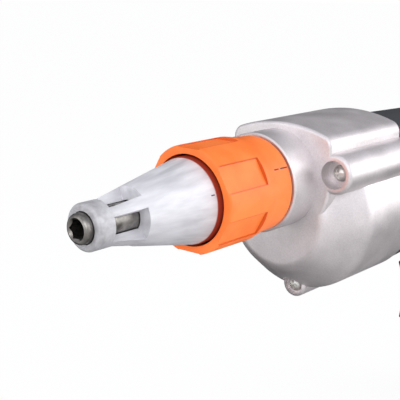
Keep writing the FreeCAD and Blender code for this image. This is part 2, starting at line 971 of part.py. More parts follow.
def brush_box(grow, y_range):
    half_x = brush_width / 2 + grow
    half_z = brush_height / 2 + grow
    return block((brush_x - half_x, brush_x + half_x), y_range, (motor_z - half_z, motor_z + half_z))


def holder_range():
    start = commutator_radius + brush_holder_gap
    return start, start + brush_holder_length


def carbon_brushes():
    start = commutator_radius + 2 * run_gap
    return both_sides(brush_box(0, (start, start + brush_length)))


def brush_holders():
    start, end = holder_range()
    body = brush_box(brush_holder_wall, (start, end))
    return both_sides(body.cut(brush_box(run_gap, (start - cut_over, end - brush_holder_wall))))


def brush_springs():
    start = commutator_radius + 2 * run_gap + brush_length + brush_spring_wire + run_gap
    end = holder_range()[1] - brush_holder_wall - brush_spring_wire - run_gap
    place = FreeCAD.Placement(Vec(brush_x, start, motor_z), FreeCAD.Rotation(upward, leftward))
    return both_sides(coil(place, brush_spring_radius, brush_spring_wire, brush_spring_turns, end - start))


# Housing shell


def oval(origin, along, low, high, radius):
    low_centre = low + radius
    high_centre = high - radius
    slant = radius / math.sqrt(2)

    def point(reach, side):
        return origin + along * reach + leftward * side

    edges = []
    for side in (1, -1):
        lean = side * slant
        edge = side * radius
        low_arc = [point(low, 0), point(low_centre - slant, lean), point(low_centre, edge)]
        high_arc = [point(high_centre, edge), point(high_centre + slant, lean), point(high, 0)]
        half = [arc(*low_arc), line(low_arc[-1], high_arc[0]), arc(*high_arc)]
        edges += half if side > 0 else half[::-1]
    return Part.Wire(edges)


def grip_loft(grow, length):
    tilt = math.radians(grip_tilt)
    back = Vec(-math.cos(tilt), 0, math.sin(tilt))
    down = Vec(-math.sin(tilt), 0, -math.cos(tilt))
    wires = []
    table = zip(grip_place_shares, grip_depth_shares, grip_width_shares, grip_front_shares)
    for place, depth, width, front in table:
        low = crotch_room * front
        high = low + grip_depth * depth
        half = grip_width * width / 2
        wires.append(oval(crotch + down * (length * place), back, low - grow, high + grow, half + grow))
    return Part.makeLoft(wires, True, False)


def barrel(grow, front):
    rear = rear_bearing_rear - barrel_back_room - grow
    bend = barrel_bend + grow
    end_radius = barrel_radius + grow
    slant = bend / math.sqrt(2)
    points = [
        Vec(front, 0, motor_z),
        Vec(front, 0, motor_z + barrel_front_radius + grow),
        Vec(rear + bend, 0, motor_z + end_radius),
        Vec(rear, 0, motor_z + end_radius - bend),
        Vec(rear, 0, motor_z),
    ]
    middle = Vec(rear + bend - slant, 0, motor_z + end_radius - bend + slant)
    edges = [line(points[0], points[1]), line(points[1], points[2]), arc(points[2], middle, points[3])]
    edges += [line(points[3], points[4]), line(points[4], points[0])]
    return turned(edges, motor_z)


def grip_block(back_range, side_range, down_range):
    x_range = (-back_range[1], -back_range[0])
    z_range = (-down_range[1], -down_range[0])
    return on_grip(block(x_range, side_range, z_range))


def case_bosses():
    bosses = []
    rear = case_rear - boss_length
    for seat, y, z, pocket in screw_places():
        bosses.append(rod(boss_radius, rear, case_rear, y, z))
        tip = Part.makeCone(boss_radius, boss_tip_radius, boss_taper, Vec(rear, y, z), -forward)
        bosses.append(tip)
    return bosses


def across(radius, x, z, start, end):
    return peg(radius, end - start, Vec(x, start, z), leftward)


def housing_screw_places():
    places = []
    for down, back in zip(screw_down_shares, screw_back_shares):
        point = on_grip(Part.Vertex(Vec(-grip_depth * back, 0, -grip_length * down))).Point
        places.append((point.x, point.z))
    return places


def screw_pockets():
    radius = screw_head_radius + screw_pocket_gap
    return [across(radius, x, z, screw_seat, side_reach) for x, z in housing_screw_places()]


def inner_ribs():
    wide = side_reach
    ribs = case_bosses()
    for rear in (stator_rear + rib_inset, stator_front - rib_inset - rib_width):
        ribs.append(collar(wide, stator_radius + run_gap, rear, rear + rib_width, 0, motor_z))
    seat = rod(rear_bearing_radius + run_gap, rear_bearing_rear, rear_bearing_front + cut_over, 0, motor_z)
    wall_rear = rear_bearing_rear - rib_width
    half = rear_bearing_radius + rib_width
    bearing_wall = block((wall_rear, rear_bearing_front), (-wide, wide), (motor_z - half, motor_z + half))
    relief_radius = rear_bearing_radius - bearing_lip_step
    relief = rod(relief_radius, wall_rear - cut_over, rear_bearing_front, 0, motor_z)
    ribs.append(bearing_wall.cut([seat, relief]))
    groove = rod(baffle_radius + run_gap, baffle_rear, baffle_front, 0, motor_z)
    lip_bore = baffle_radius - baffle_lip
    lip = collar(wide, lip_bore, baffle_rear - baffle_rib, baffle_front + baffle_rib, 0, motor_z)
    ribs.append(lip.cut(groove))
    pocket = brush_box(brush_holder_wall + run_gap, holder_range())
    start = holder_range()[1] - brush_pad_depth
    half = brush_pad_length
    pad = block((brush_x - half, brush_x + half), (start, wide), (motor_z - half, motor_z + half))
    ribs += both_sides(pad.cut(pocket)).Solids
    body = switch_block(run_gap)
    deep = (-grip_depth, 2 * grip_depth)
    broad = (-grip_width, grip_width)
    for down in (switch_top + switch_rib_inset, switch_top + switch_length - switch_rib_inset):
        slab = grip_block(deep, broad, (down, down + switch_rib))
        way = grip_block((-grip_depth, switch_front), (-trigger_width, trigger_width), (0, grip_length))
        ribs.append(slab.cut([body, way]))
    shelf = capacitor_down + capacitor_length - switch_rib_inset
    slab = grip_block(deep, broad, (shelf, shelf + switch_rib))
    ribs.append(slab.cut(capacitor_block(run_gap)))
    for x, z in housing_screw_places():
        ribs.append(across(screw_post_radius, x, z, -wide, wide))
    ribs += clamp_bosses()
    return ribs


def clamp_bosses():
    bosses = []
    for back in (inlet_back - clamp_boss_spread, inlet_back + clamp_boss_spread):
        boss = peg(clamp_boss_radius, grip_width, Vec(-back, 0, -clamp_down), -leftward)
        bosses.append(on_grip(boss))
    return bosses


def slot_row(count, rise, rear, length, inner):
    cuts = []
    half = slot_height / 2
    outer = side_reach + cut_over
    for index in range(count):
        z = motor_z + rise + slot_pitch * index
        body = block((rear + half, rear + length - half), (inner, outer), (z - half, z + half))
        ends = [across(half, x, z, inner, outer) for x in (rear + half, rear + length - half)]
        cuts += both_sides(body.fuse(ends).removeSplitter()).Solids
    return cuts


def housing_cuts():
    cuts = []
    rear = rear_bearing_front + shell_wall
    for rise in (rear_slot_rise, -rear_slot_rise - slot_pitch * (rear_slot_count - 1)):
        cuts += slot_row(rear_slot_count, rise, rear, rear_slot_length, rear_slot_inner)
    half = trigger_width / 2 + trigger_gap
    cuts.append(grip_block((-grip_depth, switch_front - shell_wall), (-half, half),
                           (trigger_top - trigger_gap, trigger_top + trigger_length + trigger_gap)))
    lever_low = switch_top - lever_slot_gap
    lever_arm = lever_pivot_back * math.tan(math.radians(lever_swing)) + lever_width / 2 + lever_slot_gap
    cuts.append(grip_block((-grip_depth, lever_pivot_back - lever_tail_radius), (-lever_arm, lever_arm),
                           (lever_low - lever_thickness - 2 * lever_slot_gap, lever_low + lever_slot_gap)))
    hole = peg(lock_radius + lock_hole_gap, grip_width, Vec(-lock_back, 0, -lock_down), leftward)
    cuts.append(on_grip(hole))
    for seat, y, z, pocket in screw_places():
        end = seat - case_screw_length() - seat_gap
        cuts.append(rod(case_screw_radius + run_gap, end, case_rear + cut_over, y, z))
    cuts += screw_pockets()
    for x, z in housing_screw_places():
        cuts.append(across(screw_radius + screw_hole_gap, x, z, 0, screw_seat + cut_over))
        cuts.append(across(screw_radius + run_gap, x, z, screw_seat - screw_length - seat_gap, 0))
    for back in (inlet_back - clamp_boss_spread, inlet_back + clamp_boss_spread):
        reach = clamp_screw_bite + seat_gap
        pilot = peg(clamp_screw_radius + run_gap, reach, Vec(-back, 0, -clamp_down), -leftward)
        cuts.append(on_grip(pilot))
    outer = inlet_bore_radius + inlet_wall - inlet_groove + run_gap
    inlet_foot = Vec(-inlet_back, 0, -grip_length - cut_over)
    cuts.append(on_grip(peg(outer, 2 * grip_base + cut_over, inlet_foot, upward)))
    return cuts


def rubber_zone():
    front = crotch_room + grip_depth * rubber_front_share
    foot = grip_length - rubber_foot
    points = [
        Vec(-front, 0, rubber_top),
        Vec(-front + rubber_bow, 0, (rubber_top - foot) / 2),
        Vec(-front, 0, -foot),
        Vec(-front - 2 * grip_depth, 0, -foot),
        Vec(-front - 2 * grip_depth, 0, rubber_top),
    ]
    edges = [arc(points[0], points[1], points[2])]
    for start, end in zip(points[2:], points[3:] + points[:1]):
        edges.append(line(start, end))
    face = Part.Face(Part.Wire(edges))
    face.translate(-leftward * grip_width)
    return on_grip(face.extrude(leftward * (2 * grip_width)))


def rubber_grip():
    sunk = grip_loft(-rubber_sunk, grip_length)
    proud = grip_loft(rubber_proud, grip_length)
    return proud.common(rubber_zone()).cut([sunk, barrel(seat_gap, case_rear)] + screw_pockets())


def housing_shell():
    outer = barrel(0, case_rear).fuse(grip_loft(0, grip_length))
    inner = barrel(-shell_wall, case_rear + cut_over).fuse(grip_loft(-shell_wall, grip_length - grip_base))
    cavity = inner.cut(inner_ribs())
    shell = outer.fuse(case_bosses()).cut(cavity)
    recess = rubber_zone().cut([grip_loft(-rubber_sunk, grip_length), barrel(seat_gap, case_rear)])
    return shell.cut([recess] + housing_cuts())


def half_space(side):
    reach = 2 * grip_length + holder_length
    y_range = (0, reach) if side > 0 else (-reach, 0)
    centre = crotch.x
    return block((centre - reach, centre + reach), y_range, (-reach, reach))


def housing_screws():
    screws = []
    for x, z in housing_screw_places():
        screw = pan_screw(screw_radius, screw_length, screw_head_radius, screw_head_height)
        screw.rotate(Vec(0, 0, 0), upward, 90)
        screw.translate(Vec(x, screw_seat, z))
        screws.append(screw)
    return Part.makeCompound(screws)


# Switch, trigger, lever and lock button


def switch_block(grow):
    half = switch_width / 2 + grow
    return grip_block((switch_front - grow, switch_front + switch_depth + grow), (-half, half),
                      (switch_top - grow, switch_top + switch_length + grow))


def switch_body():
    middle = trigger_top + trigger_length / 2
    stem_way = trigger_stem_length + trigger_travel - (switch_front - trigger_back) + seat_gap
    stem = peg(trigger_stem_radius + run_gap, stem_way, Vec(-switch_front, 0, -middle), -forward)
    pivot_start = Vec(-lever_pivot_back, 0, -switch_top)
    pivot = peg(lever_pivot_radius + run_gap, lever_pivot_depth + seat_gap, pivot_start, -upward)
    reach = switch_width / 2
    lock_way = lock_stem_length + lock_travel + seat_gap - (lock_inner() - reach)
    lock = peg(lock_stem_radius + run_gap, lock_way, Vec(-lock_back, reach, -lock_down), -leftward)
    return switch_block(0).cut([on_grip(piece) for piece in (stem, pivot, lock)])


def trigger():
    top = -trigger_top
    foot = top - trigger_length
    middle = (top + foot) / 2
    hollow_x = (trigger_top_reach + trigger_foot_reach) / 2 - trigger_hollow
    points = [
        Vec(-trigger_back, 0, top),
        Vec(trigger_top_reach, 0, top),
        Vec(trigger_foot_reach, 0, foot),
        Vec(-trigger_back, 0, foot),
    ]
    edges = [line(points[0], points[1]), arc(points[1], Vec(hollow_x, 0, middle), points[2])]
    edges += [line(points[2], points[3]), line(points[3], points[0])]
    face = Part.Face(Part.Wire(edges))
    half = trigger_width / 2
    face.translate(-leftward * half)
    body = face.extrude(leftward * trigger_width)
    front_edges = edges_at(body, lambda box: near(box.YMin, box.YMax) and box.XMin > -crotch_room)
    body = body.makeFillet(trigger_edge, front_edges)
    stem = peg(trigger_stem_radius, trigger_stem_length, Vec(-trigger_back, 0, middle), -forward)
    return on_grip(body.fuse(stem))


def trigger_spring():
    middle = trigger_top + trigger_length / 2
    length = switch_front - trigger_back - 2 * trigger_wire_radius - 2 * run_gap
    start = Vec(-switch_front + trigger_wire_radius + run_gap, 0, -middle)
    place = FreeCAD.Placement(start, FreeCAD.Rotation(upward, forward))
    return on_grip(coil(place, trigger_coil_radius, trigger_wire_radius, trigger_coil_turns, length))


def reverse_lever():
    foot = -switch_top + lever_slot_gap
    half = lever_width / 2
    arm = block((-lever_pivot_back, lever_reach - half), (-half, half), (foot, foot + lever_thickness))
    tip = peg(half, lever_thickness, Vec(lever_reach - half, 0, foot), upward)
    tail = peg(lever_tail_radius, lever_thickness, Vec(-lever_pivot_back, 0, foot), upward)
    drop = lever_pivot_depth + lever_slot_gap
    pivot = peg(lever_pivot_radius, drop, Vec(-lever_pivot_back, 0, foot), -upward)
    return on_grip(arm.fuse([tip, tail, pivot]).removeSplitter())


def lock_inner():
    return grip_width / 2 + lock_proud - lock_cap_length


def lock_button():
    start = Vec(-lock_back, lock_inner(), -lock_down)
    cap = peg(lock_radius, lock_cap_length, start, leftward)
    rim = edges_at(cap, lambda box: near(box.YMin, lock_inner() + lock_cap_length))
    cap = cap.makeFillet(lock_edge, rim)
    return on_grip(cap.fuse(peg(lock_stem_radius, lock_stem_length, start, -leftward)))


# Cord inlet, clamp and capacitor


def capacitor_block(grow):
    half_x = capacitor_depth / 2 + grow
    half_y = capacitor_width / 2 + grow
    return grip_block((capacitor_back - half_x, capacitor_back + half_x), (-half_y, half_y),
                      (capacitor_down - grow, capacitor_down + capacitor_length + grow))


def cord_clamp():
    half = clamp_length / 2
    half_height = clamp_height / 2
    body = grip_block((inlet_back - half, inlet_back + half), (0, clamp_thickness),
                      (clamp_down - half_height, clamp_down + half_height))
    start = Vec(-inlet_back, 0, -clamp_down - clamp_height)
    cuts = [peg(clamp_groove_radius, 2 * clamp_height, start, upward)]
    for back in (inlet_back - clamp_boss_spread, inlet_back + clamp_boss_spread):
        hole = Vec(-back, -cut_over, -clamp_down)
        cuts.append(peg(clamp_screw_radius + run_gap, clamp_thickness + 2 * cut_over, hole, leftward))
    return body.cut([on_grip(cut) for cut in cuts])


def clamp_screws():
    screws = []
    length = clamp_thickness + clamp_screw_bite
    for back in (inlet_back - clamp_boss_spread, inlet_back + clamp_boss_spread):
        screw = pan_screw(clamp_screw_radius, length, clamp_head_radius, clamp_head_height)
        screw.rotate(Vec(0, 0, 0), upward, 90)
        screw.translate(Vec(-back, clamp_thickness, -clamp_down))
        screws.append(on_grip(screw))
    return Part.makeCompound(screws)


def cord_inlet():
    outer = inlet_bore_radius + inlet_wall
    waist = outer - inlet_groove
    foot = -grip_length - inlet_flange_height
    head = foot + inlet_length
    start = Vec(-inlet_back, 0, foot)
    body = peg(waist, inlet_length, start, upward)
    flange = peg(outer + inlet_flange, inlet_flange_height - run_gap, start, upward)
    inner_rim = Vec(-inlet_back, 0, -grip_length + grip_base + run_gap)
    rim = peg(outer, head - inner_rim.z, inner_rim, upward)
    bore = peg(inlet_bore_radius, inlet_length + 2 * cut_over, start - upward * cut_over, upward)
    return on_grip(body.fuse([flange, rim]).cut(bore).removeSplitter())


def nodes():
    front_outer, front_inner, front_balls = bearing(
        front_bearing_front, front_bearing_width, front_bearing_radius, shaft_radius)
    rear_outer, rear_inner, rear_balls = bearing(
        rear_bearing_front, rear_bearing_width, rear_bearing_radius, rear_shaft_radius)
    shell = housing_shell()
    rubber = rubber_grip()
    return {
        "bit_holder": bit_holder(),
        "bit_magnet": bit_magnet(),
        "holder_ball": holder_ball(),
        "holder_clip": holder_clip(),
        "nose_locator": nose_locator(),
        "nose_o_ring": nose_o_ring(),
        "depth_ring": depth_ring(),
        "spindle_bush": spindle_bush(),
        "spindle_seal": spindle_seal(),
        "thrust_washer": thrust_washer(),
        "spindle": spindle(),
        "clutch_spring": clutch_spring(),
        "drive_gear": drive_gear(),
        "gear_washer": gear_washer(),
        "gear_pin": gear_pin(),
        "bearing_plate": bearing_plate(),
        "gear_case": gear_case(),
        "case_screws": case_screws(),
        "front_bearing_outer": front_outer,
        "front_bearing_inner": front_inner,
        "front_bearing_balls": front_balls,
        "rear_bearing_outer": rear_outer,
        "rear_bearing_inner": rear_inner,
        "rear_bearing_balls": rear_balls,
        "armature_shaft": armature_shaft(),
        "armature_core": armature_core(),
        "armature_windings": armature_windings(),
        "commutator": commutator(),
        "motor_fan": motor_fan(),
        "fan_baffle": fan_baffle(),
        "field_core": field_core(),
        "field_coils": field_coils(),
        "carbon_brushes": carbon_brushes(),
        "brush_holders": brush_holders(),
        "brush_springs": brush_springs(),
        "housing_left": shell.common(half_space(1)),
        "housing_right": shell.common(half_space(-1)),
        "housing_screws": housing_screws(),
        "grip_left": rubber.common(half_space(1)),
        "grip_right": rubber.common(half_space(-1)),
        "switch_body": switch_body(),
        "trigger": trigger(),
        "trigger_spring": trigger_spring(),
        "reverse_lever": reverse_lever(),
        "lock_button": lock_button(),
        "capacitor": capacitor_block(0),
        "cord_clamp": cord_clamp(),
        "clamp_screws": clamp_screws(),
        "cord_inlet": cord_inlet(),
    }


os.makedirs("parts", exist_ok=True)
for name, shape in nodes().items():
    shape.exportStep("parts/" + name + ".step")
    print(name, len(shape.Solids), round(shape.Volume), shape.isValid())
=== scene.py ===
import json
import math

import bmesh
import bpy
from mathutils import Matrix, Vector
from mathutils.bvhtree import BVHTree


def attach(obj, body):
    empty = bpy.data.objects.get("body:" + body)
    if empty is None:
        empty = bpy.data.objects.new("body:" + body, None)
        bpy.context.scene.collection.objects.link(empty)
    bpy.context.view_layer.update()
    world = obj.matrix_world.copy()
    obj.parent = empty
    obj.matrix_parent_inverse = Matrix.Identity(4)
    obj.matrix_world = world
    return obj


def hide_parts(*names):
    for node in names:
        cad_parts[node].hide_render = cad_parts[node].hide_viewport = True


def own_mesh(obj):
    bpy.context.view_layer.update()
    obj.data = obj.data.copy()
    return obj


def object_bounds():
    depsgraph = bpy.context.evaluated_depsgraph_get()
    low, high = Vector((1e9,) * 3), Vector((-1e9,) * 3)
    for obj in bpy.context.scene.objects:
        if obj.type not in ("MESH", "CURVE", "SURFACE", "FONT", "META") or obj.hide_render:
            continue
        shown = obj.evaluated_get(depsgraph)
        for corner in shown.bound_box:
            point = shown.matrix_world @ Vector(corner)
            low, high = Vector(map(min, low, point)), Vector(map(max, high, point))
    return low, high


mm = 0.001
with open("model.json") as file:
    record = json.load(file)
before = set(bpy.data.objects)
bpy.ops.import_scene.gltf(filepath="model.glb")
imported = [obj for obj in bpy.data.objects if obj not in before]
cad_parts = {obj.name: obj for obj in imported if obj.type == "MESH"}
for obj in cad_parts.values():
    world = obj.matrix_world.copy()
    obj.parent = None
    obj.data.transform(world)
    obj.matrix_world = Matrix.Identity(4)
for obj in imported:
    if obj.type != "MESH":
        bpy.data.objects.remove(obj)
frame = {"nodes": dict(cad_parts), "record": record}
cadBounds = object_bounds()
print("frame loaded:", len(frame["nodes"]), "nodes")


def linear(hexColour):
    channels = []
    for start in (1, 3, 5):
        value = int(hexColour[start:start + 2], 16) / 255
        channels.append(value / 12.92 if value <= 0.04045 else ((value + 0.055) / 1.055) ** 2.4)
    return (*channels, 1.0)


# adds one node: settings go to its properties or sockets, links join earlier nodes or their sockets
def addNode(tree, kind, settings=None, links=None):
    node = tree.nodes.new(kind)
    for name, value in (settings or {}).items():
        if isinstance(name, int) or name in node.inputs:
            node.inputs[name].default_value = value
        else:
            setattr(node, name, value)
    for name, source in (links or {}).items():
        socket = source.outputs[0] if isinstance(source, bpy.types.Node) else source
        tree.links.new(socket, node.inputs[name])
    return node


def startMaterial(name, shader):
    material = bpy.data.materials.new(name)
    material.use_nodes = True
    tree = material.node_tree
    tree.nodes.clear()
    surface = addNode(tree, "ShaderNodeBsdfPrincipled", shader)
    addNode(tree, "ShaderNodeOutputMaterial", links={"Surface": surface})
    place = addNode(tree, "ShaderNodeTexCoord").outputs["Object"]
    return material, tree, surface, place


# joins a material's patterns to its shader: the colour goes from dark to light over the pattern's span,
# and roughness and relief follow the patterns given for them
def finishSurface(tree, surface, look, shade, wear=None, relief=None):
    blend = addNode(tree, "ShaderNodeValToRGB", links={"Fac": shade})
    colours = (look["dark"], look["light"])
    for point, position, hexColour in zip(blend.color_ramp.elements, look["span"], colours):
        point.position = position
        point.color = linear(hexColour)
    tree.links.new(blend.outputs["Color"], surface.inputs["Base Color"])
    if wear is not None:
        low, high = look["rough"]
        rough = addNode(tree, "ShaderNodeMapRange", {"To Min": low, "To Max": high}, {"Value": wear})
        tree.links.new(rough.outputs["Result"], surface.inputs["Roughness"])
    if relief is not None:
        bump = addNode(tree, "ShaderNodeBump", {"Distance": look["depth"], "Strength": 1.0},
                       {"Height": relief})
        tree.links.new(bump.outputs["Normal"], surface.inputs["Normal"])
    return blend.outputs["Color"]


# Materials

# a wave texture of scale 1 repeats after this length
waveLength = 0.314

# die-cast aluminium, shot blasted: an even silver with a fine sparkle of dimples
blastedAluminium = {"metallic": 0.85, "dimple": 0.55 * mm, "dimpleShare": 0.6, "patch": 14 * mm,
                    "depth": 0.03 * mm, "dark": "#c5bfc0", "light": "#e1dbdc", "span": (0.45, 1.0),
                    "rough": (0.4, 0.53)}


def makeBlastedAluminium():
    look = blastedAluminium
    material, tree, surface, place = startMaterial("shot blasted aluminium", {"Metallic": look["metallic"]})
    # real dimples are finer, drawn this coarse to show
    dimples = addNode(tree, "ShaderNodeTexNoise", {"Scale": 1 / look["dimple"], "Detail": 2.0},
                      {"Vector": place})
    patches = addNode(tree, "ShaderNodeTexNoise", {"Scale": 1 / look["patch"], "Detail": 3.0},
                      {"Vector": place})
    both = addNode(tree, "ShaderNodeMath", {"operation": "MULTIPLY_ADD", 1: look["dimpleShare"]},
                   {0: dimples, 2: patches})
    finishSurface(tree, surface, look, both, patches, dimples)
    return material


# aluminium turned on a lathe and tumbled: pale satin with faint rings round the axis and streaks along it,
# and a band of painted shade where it goes into the ring
turnedAluminium = {"metallic": 0.78, "ring": 0.7 * mm, "streak": 3.2 * mm, "stretch": (0.12, 1, 1),
                   "depth": 0.006 * mm, "dark": "#cccbcf", "light": "#e4e3e6", "span": (0.3, 0.65),
                   "rough": (0.62, 0.8), "worn": "#9a9899", "wornFrom": -17 * mm, "wornTo": -5 * mm,
                   "speck": 2.2 * mm, "gapShade": "#a8402a", "gapShadeFrom": -50.8 * mm, "gapShadeTo": -51.5 * mm}


def makeTurnedAluminium():
    look = turnedAluminium
    material, tree, surface, place = startMaterial("turned aluminium", {"Metallic": look["metallic"]})
    # real feed marks are finer, drawn this coarse to show
    rings = addNode(tree, "ShaderNodeTexWave", {"bands_direction": "X", "Scale": waveLength / look["ring"],
                    "Distortion": 1.5, "Detail": 2.0}, {"Vector": place})
    drawnOut = addNode(tree, "ShaderNodeVectorMath", {"operation": "MULTIPLY", 1: look["stretch"]},
                       {0: place})
    streaks = addNode(tree, "ShaderNodeTexNoise", {"Scale": 1 / look["streak"], "Detail": 4.0},
                      {"Vector": drawnOut})
    bright = finishSurface(tree, surface, look, streaks, streaks, rings.outputs["Fac"])
    # the tip that meets the board is rubbed grey in specks
    along = addNode(tree, "ShaderNodeSeparateXYZ", links={"Vector": place}).outputs["X"]
    specks = addNode(tree, "ShaderNodeTexNoise", {"Scale": 1 / look["speck"], "Detail": 4.0},
                     {"Vector": place})
    toTip = addNode(tree, "ShaderNodeMapRange", {"From Min": look["wornFrom"], "From Max": look["wornTo"]},
                    {"Value": along})
    worn = addNode(tree, "ShaderNodeMath", {"operation": "MULTIPLY", "use_clamp": True},
                   {0: toTip, 1: specks})
    rubbed = addNode(tree, "ShaderNodeMix", {"data_type": "RGBA", "B": linear(look["worn"])},
                     {"Factor": worn, "A": bright})
    # a dark red brown band of painted shade stands where the cone goes into the ring: the shadowed gap
    # there, tinted by a painted reflection of the orange ring
    toRing = addNode(tree, "ShaderNodeMapRange", {"interpolation_type": "SMOOTHSTEP",
                     "From Min": look["gapShadeFrom"], "From Max": look["gapShadeTo"]}, {"Value": along})
    gapShaded = addNode(tree, "ShaderNodeMix", {"data_type": "RGBA", "B": linear(look["gapShade"])},
                      {"Factor": toRing, "A": rubbed.outputs["Result"]})
    tree.links.new(gapShaded.outputs["Result"], surface.inputs["Base Color"])
    return material


# glass filled nylon, moulded: a warm orange with a soft sheen and a fine mould grain, with painted shade
# along the edges of its recessed pads
orangeNylon = {"ior": 1.45, "grain": 0.5 * mm, "cloud": 12 * mm, "depth": 0.012 * mm, "dark": "#f37022",
               "light": "#fc7e34", "span": (0.35, 0.65), "rough": (0.4, 0.52), "padShade": "#b04310",
               "padShadeShare": 0.6, "padTurn": math.radians(30), "padHalf": 5.3 * mm, "padFront": -54.0 * mm,
               "padRear": -75.0 * mm, "padFloor": 18.7 * mm, "line": 0.5 * mm}


def makeOrangeNylon():
    look = orangeNylon
    material, tree, surface, place = startMaterial("orange nylon", {"IOR": look["ior"]})
    # a real mould grain is finer, drawn this coarse to show
    grain = addNode(tree, "ShaderNodeTexNoise", {"Scale": 1 / look["grain"], "Detail": 2.0},
                    {"Vector": place})
    cloud = addNode(tree, "ShaderNodeTexNoise", {"Scale": 1 / look["cloud"], "Detail": 3.0},
                    {"Vector": place})
    unshaded = finishSurface(tree, surface, look, cloud, cloud, grain)
    # painted shade darkens the edges of the six recessed pads: each point is measured from the middle of the
    # nearest pad
    split = addNode(tree, "ShaderNodeSeparateXYZ", links={"Vector": place}).outputs
    angle = addNode(tree, "ShaderNodeMath", {"operation": "ARCTAN2"}, {0: split["Z"], 1: split["Y"]})
    turned = addNode(tree, "ShaderNodeMath", {"operation": "SUBTRACT", 1: look["padTurn"]}, {0: angle})
    near = addNode(tree, "ShaderNodeMath", {"operation": "WRAP", 1: look["padTurn"], 2: -look["padTurn"]},
                   {0: turned})
    lean = addNode(tree, "ShaderNodeMath", {"operation": "SINE"}, {0: near})
    flat = addNode(tree, "ShaderNodeVectorMath", {"operation": "MULTIPLY", 1: (0, 1, 1)}, {0: place})
    reach = addNode(tree, "ShaderNodeVectorMath", {"operation": "LENGTH"}, {0: flat}).outputs["Value"]
    across = addNode(tree, "ShaderNodeMath", {"operation": "MULTIPLY"}, {0: lean, 1: reach})
    aside = addNode(tree, "ShaderNodeMath", {"operation": "ABSOLUTE"}, {0: across})
    pastSide = addNode(tree, "ShaderNodeMath", {"operation": "SUBTRACT", 1: look["padHalf"]}, {0: aside})
    pastRear = addNode(tree, "ShaderNodeMath", {"operation": "SUBTRACT", 0: look["padRear"]},
                       {1: split["X"]})
    outside = addNode(tree, "ShaderNodeMath", {"operation": "MAXIMUM"}, {0: pastSide, 1: pastRear})
    off = addNode(tree, "ShaderNodeMath", {"operation": "ABSOLUTE"}, {0: outside})
    line = addNode(tree, "ShaderNodeMapRange", {"interpolation_type": "SMOOTHSTEP", "From Max": look["line"],
                   "To Min": look["padShadeShare"], "To Max": 0.0}, {"Value": off})
    # the ring's front face and its bore get no painted shade
    proud = addNode(tree, "ShaderNodeMath", {"operation": "GREATER_THAN", 1: look["padFloor"]}, {0: reach})
    behind = addNode(tree, "ShaderNodeMath", {"operation": "LESS_THAN", 1: look["padFront"]},
                     {0: split["X"]})
    onSide = addNode(tree, "ShaderNodeMath", {"operation": "MULTIPLY"}, {0: proud, 1: behind})
    edge = addNode(tree, "ShaderNodeMath", {"operation": "MULTIPLY"}, {0: line, 1: onSide})
    shadedPads = addNode(tree, "ShaderNodeMix", {"data_type": "RGBA", "B": linear(look["padShade"])},
                    {"Factor": edge, "A": unshaded})
    tree.links.new(shadedPads.outputs["Result"], surface.inputs["Base Color"])
    return material


# alloy steel, oil blackened after turning: warm dark grey, rubbed brighter in patches
blackenedSteel = {"rub": 3.5 * mm, "ring": 0.5 * mm, "depth": 0.006 * mm, "dark": "#6a6764",
                  "light": "#a5a19c", "span": (0.35, 0.75), "rough": (0.3, 0.45)}


def makeBlackenedSteel():
    look = blackenedSteel
    material, tree, surface, place = startMaterial("oil blackened steel", {"Metallic": 1.0})
    rub = addNode(tree, "ShaderNodeTexNoise", {"Scale": 1 / look["rub"], "Detail": 5.0}, {"Vector": place})
    # feed marks drawn coarse, as on the nose
    rings = addNode(tree, "ShaderNodeTexWave", {"bands_direction": "X", "Scale": waveLength / look["ring"],
                    "Distortion": 2.0}, {"Vector": place})
    finishSurface(tree, surface, look, rub, rub, rings.outputs["Fac"])
    return material


# plain metals of small fittings: a steel, bronze or brass with cloudy handling marks
fittingMetals = {
    "bright steel": {"dark": "#a9a8a6", "light": "#d9d8d6", "cloud": 4 * mm, "rough": (0.2, 0.34)},
    "zinc plated steel": {"dark": "#cfccc8", "light": "#f2f0ec", "cloud": 2.5 * mm, "rough": (0.4, 0.55)},
    "ground steel": {"dark": "#7f7e7d", "light": "#b3b2b0", "cloud": 5 * mm, "rough": (0.28, 0.42)},
    "sintered bronze": {"dark": "#8f6a3c", "light": "#c59a5f", "cloud": 1.2 * mm, "rough": (0.35, 0.5)},
    "drawn brass": {"dark": "#b08a3e", "light": "#dcb863", "cloud": 4 * mm, "rough": (0.22, 0.35)},
    "sintered magnet": {"dark": "#5d5d60", "light": "#8a8a8e", "cloud": 1.5 * mm, "rough": (0.35, 0.5)},
}
fittingSkin = {"span": (0.35, 0.7), "depth": 0.02 * mm}


def makeFittingMetal(name):
    look = {**fittingSkin, **fittingMetals[name]}
    material, tree, surface, place = startMaterial(name, {"Metallic": 1.0})
    cloud = addNode(tree, "ShaderNodeTexNoise", {"Scale": 1 / look["cloud"], "Detail": 4.0},
                    {"Vector": place})
    finishSurface(tree, surface, look, cloud, cloud, cloud)
    return material


# banded metals: stacked laminations or wound wire, seen as lines across the axis, drawn coarse to show
bandedMetals = {
    "stacked laminations": {"band": 0.9 * mm, "dark": "#55555a", "light": "#8b8b90", "rough": 0.45},
    "enamelled copper wire": {"band": 0.8 * mm, "dark": "#7c3d1c", "light": "#cf7a3f", "rough": 0.3},
}
bandedSkin = {"span": (0.2, 0.8), "depth": 0.05 * mm}


def makeBandedMetal(name):
    look = {**bandedSkin, **bandedMetals[name]}
    material, tree, surface, place = startMaterial(name, {"Metallic": 1.0, "Roughness": look["rough"]})
    bands = addNode(tree, "ShaderNodeTexWave", {"bands_direction": "X", "Scale": waveLength / look["band"]},
                    {"Vector": place}).outputs["Fac"]
    finishSurface(tree, surface, look, bands, relief=bands)
    return material


